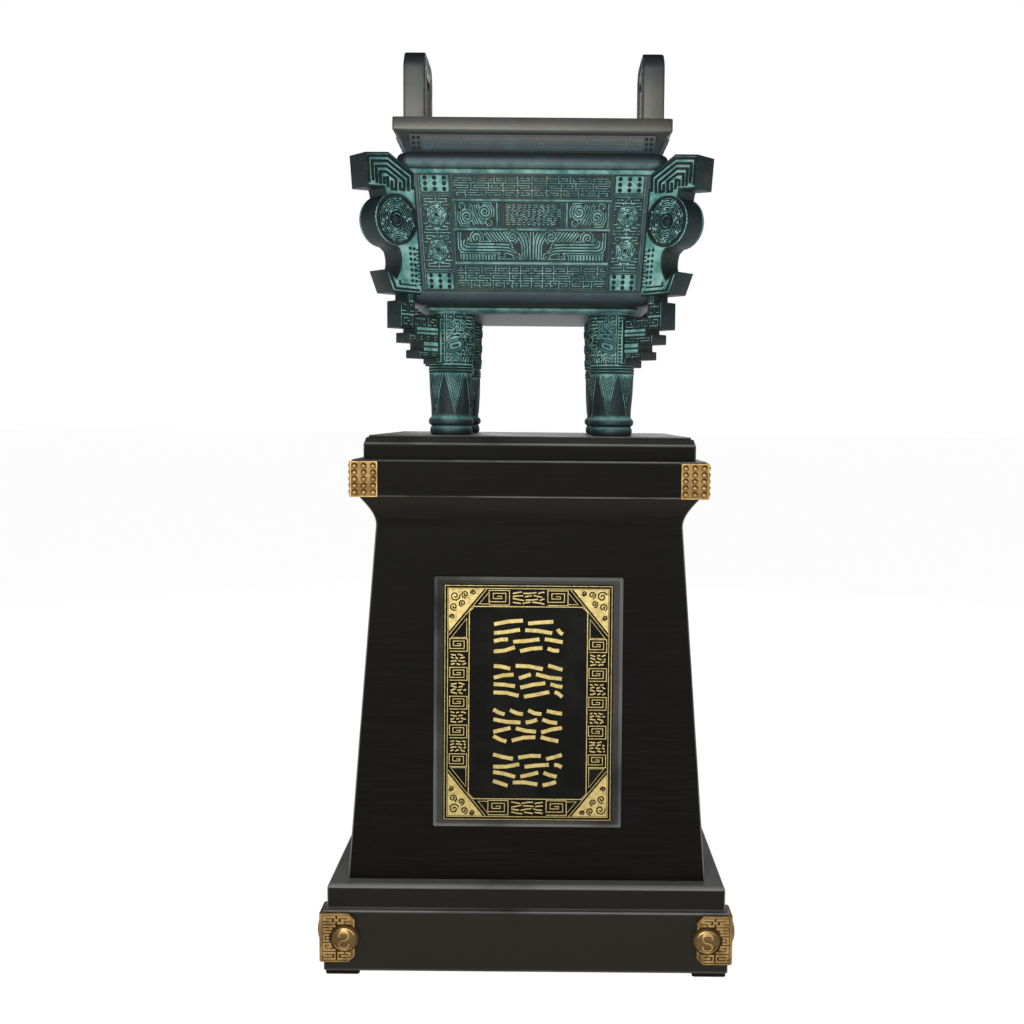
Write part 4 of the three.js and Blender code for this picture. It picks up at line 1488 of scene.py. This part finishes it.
def plaqueMeander(bm, place, u, v, width, height):
    # a squared spiral in a framed block
    turns = [(-0.5, -0.5), (0.5, -0.5), (0.5, 0.5), (-0.5, 0.5), (-0.5, -0.28), (0.32, -0.28),
             (0.32, 0.3), (-0.3, 0.3), (-0.3, -0.06), (0.12, -0.06), (0.12, 0.1), (-0.1, 0.1)]
    goldLine(bm, place, [(u + a * width, v + b * height) for a, b in turns], draft=0.85)


def goldPatch(bm, place, outline):
    # a thin flat field of gold
    part = newPart()
    part.faces.new([part.verts.new((u, v, 0)) for u, v in outline])
    raised = set(newVerts(bmesh.ops.extrude_face_region(part, geom=part.faces[:])))
    for vert in part.verts:
        vert.co = place(vert.co.x, vert.co.y, 0.35 if vert in raised else 0)
    bmesh.ops.recalc_face_normals(part, faces=part.faces)
    pour(bm, part, 1)


def plaqueStrokes(bm, place, u, v, width, height, rows, rng, thick):
    # rows of short slanted strokes, no letters
    for row in range(rows):
        across = -width / 2
        middle = v + height * ((row + 0.5) / rows - 0.5)
        while across < width / 2 - thick:
            length = min(rng.uniform(0.16, 0.42) * width, width / 2 - across)
            lift = rng.choice((-1, 1)) * rng.uniform(0.1, 0.3) * height / rows
            bend = rng.uniform(-0.16, 0.16) * height / rows
            path = [(u + across, middle - lift), (u + across + length / 2, middle + bend),
                    (u + across + length, middle + lift)]
            goldLine(bm, place, path, thick, 0.8, draft=0.85)
            across += length + thick * 1.25


def chamfered(halfU, halfV, cut):
    return [(halfU - cut, -halfV), (halfU, -halfV + cut), (halfU, halfV - cut), (halfU - cut, halfV),
            (-halfU + cut, halfV), (-halfU, halfV - cut), (-halfU, -halfV + cut), (-halfU + cut, -halfV)]


def makePlaque():
    rng = random.Random(21)
    halfU, halfV, thick = plaque["plate"]
    base = plaque["gap"] * 2 + boardThick
    bm = newPart()
    pour(bm, slabOn(onShaft, halfU, halfV, base, base + thick, 1.0, 2))
    place = lambda u, v, w: onShaft(u, v, base + thick + w - 0.05)
    for inset, width in plaque["lines"]:
        u = halfU - inset
        v = halfV - inset
        goldLine(bm, place, [(u, -v), (u, v), (-u, v), (-u, -v)], width, loop=True)
    fieldU, fieldV = plaque["field"]
    goldLine(bm, place, chamfered(fieldU, fieldV, plaque["cut"]), 2, loop=True)
    sideU = (halfU - 8 + fieldU) / 2
    endV = (halfV - 8 + fieldV) / 2
    run = plaque["run"]
    pitch = 2 * run / plaque["blocks"]
    for side in (-1, 1):
        for number in range(plaque["blocks"]):
            v = -run + pitch * (number + 0.5)
            if number % 2:
                plaqueStrokes(bm, place, side * sideU, v, 27, pitch - 4, 4, rng, 2.6)
            else:
                plaqueMeander(bm, place, side * sideU, v, 31, pitch - 3)
        plaqueMeander(bm, place, -52, side * endV, 36, 26)
        plaqueStrokes(bm, place, 0, side * endV, 56, 24, 4, rng, 2.4)
        plaqueMeander(bm, place, 52, side * endV, 36, 26)
        for end in (-1, 1):
            u = side * (halfU - plaque["corner"])
            v = end * (halfV - plaque["corner"])
            spot = lambda across, up: (u - side * across, v - end * up)
            patch = [spot(0, 0), spot(plaque["patch"][0], 0), spot(0, plaque["patch"][1])]
            goldPatch(bm, place, patch if side * end < 0 else patch[::-1])
            for across, up, reach in plaque["cornerCurls"]:
                scroll = curl(spot(across, up), reach, 1.5, 40 * reach, side * end, 12)
                stroke(bm, scroll, 2.6, 0.2, 0.7, place)
            goldLine(bm, place, [spot(67, 0), spot(0, 82)])
            goldLine(bm, place, [spot(72, 4), spot(72, 26), spot(54, 26)], loop=True)
            goldLine(bm, place, [spot(5, 86), spot(32, 86), spot(32, 52)], loop=True)
    for number in range(plaque["groups"]):
        v = plaque["groupPitch"] * (number - (plaque["groups"] - 1) / 2)
        plaqueStrokes(bm, place, 0, v, *plaque["groupSize"], 4, rng, 7.6)
    finishPiece(bm, "gilt_plaque", [blackPlate, gilt], ["plaque_plate"], 30)


makePlaque()


# floor, light and camera

white = (1, 1, 1, 1)


def floorFinish():
    finish, tree, surface = newFinish("pale_floor")
    cloud = noise(tree, objectPlace(tree), 3, 2)
    tone = mixColour(tree, cloud, (0.22, 0.22, 0.22, 1), (0.24, 0.24, 0.24, 1))
    link(tree, surface, Base_Color=tone, Roughness=0.85, Emission_Color=white, Emission_Strength=0.95)
    return finish


def makeFloor():
    bm = bmesh.new()
    bmesh.ops.create_grid(bm, x_segments=2, y_segments=2, size=60)
    mesh = bpy.data.meshes.new("floor")
    bm.to_mesh(mesh)
    bm.free()
    mesh.materials.append(floorFinish())
    floor = bpy.data.objects.new("floor", mesh)
    bpy.context.scene.collection.objects.link(floor)


def makeWorld():
    world = bpy.data.worlds.new("studio")
    bpy.context.scene.world = world
    world.use_nodes = True
    tree = world.node_tree
    toward = addNode(tree, "ShaderNodeTexCoord").outputs["Generated"]
    upward = addNode(tree, "ShaderNodeSeparateXYZ", {0: toward}).outputs["Z"]
    glow = mixValue(tree, spread(tree, upward, 0.0, 0.5), 0.38, 0.03)  # brighter near the horizon
    lit = tree.nodes["Background"]
    link(tree, lit, Color=white, Strength=glow)
    seen = addNode(tree, "ShaderNodeBackground", {"Color": white, "Strength": 1.0})
    direct = addNode(tree, "ShaderNodeLightPath").outputs["Is Camera Ray"]
    both = addNode(tree, "ShaderNodeMixShader", {0: direct, 1: lit.outputs[0], 2: seen.outputs[0]})
    tree.links.new(both.outputs[0], tree.nodes["World Output"].inputs["Surface"])


lamps = {
    "key": {"at": (-0.9, -4.2, 1.75), "size": 2.2, "power": 92},
    "fill": {"at": (1.6, -4.0, 1.2), "size": 2.4, "power": 34},
    "back": {"at": (0.4, 3.6, 2.6), "size": 2.4, "power": 40},
}


lampTarget = Vector((0, 0, 0.95))


def makeLamps():
    for name, setting in lamps.items():
        data = bpy.data.lights.new(name, "AREA")
        data.shape = "SQUARE"
        data.size = setting["size"]
        data.energy = setting["power"]
        lamp = bpy.data.objects.new(name, data)
        lamp.location = setting["at"]
        aim = lampTarget - lamp.location
        lamp.rotation_euler = aim.to_track_quat("-Z", "Y").to_euler()
        bpy.context.scene.collection.objects.link(lamp)


camera = {
    "focal": 1150,          # in pixels of the 1024 frame
    "centreX": 546.3,       # where the line of sight meets that frame
    "frame": 1024,
    "sensor": 36,
    "at": (0.03, -2.2841, 0.9959),
    "down": 4.7719,         # degrees below level
    "roll": 0.48,
}


def makeCamera():
    data = bpy.data.cameras.new("camera")
    data.sensor_width = camera["sensor"]
    data.sensor_fit = "HORIZONTAL"
    data.lens = camera["focal"] / camera["frame"] * camera["sensor"]
    data.shift_x = (camera["frame"] / 2 - camera["centreX"]) / camera["frame"]
    eye = bpy.data.objects.new("camera", data)
    eye.location = camera["at"]
    aim = Matrix.Rotation(math.radians(90 - camera["down"]), 4, "X")
    eye.rotation_euler = (aim @ Matrix.Rotation(math.radians(camera["roll"]), 4, "Z")).to_euler()
    bpy.context.scene.collection.objects.link(eye)
    bpy.context.scene.camera = eye


makeFloor()
makeWorld()
makeLamps()
makeCamera()
bpy.context.scene.view_settings.view_transform = "Standard"
print("floor, light and camera set")
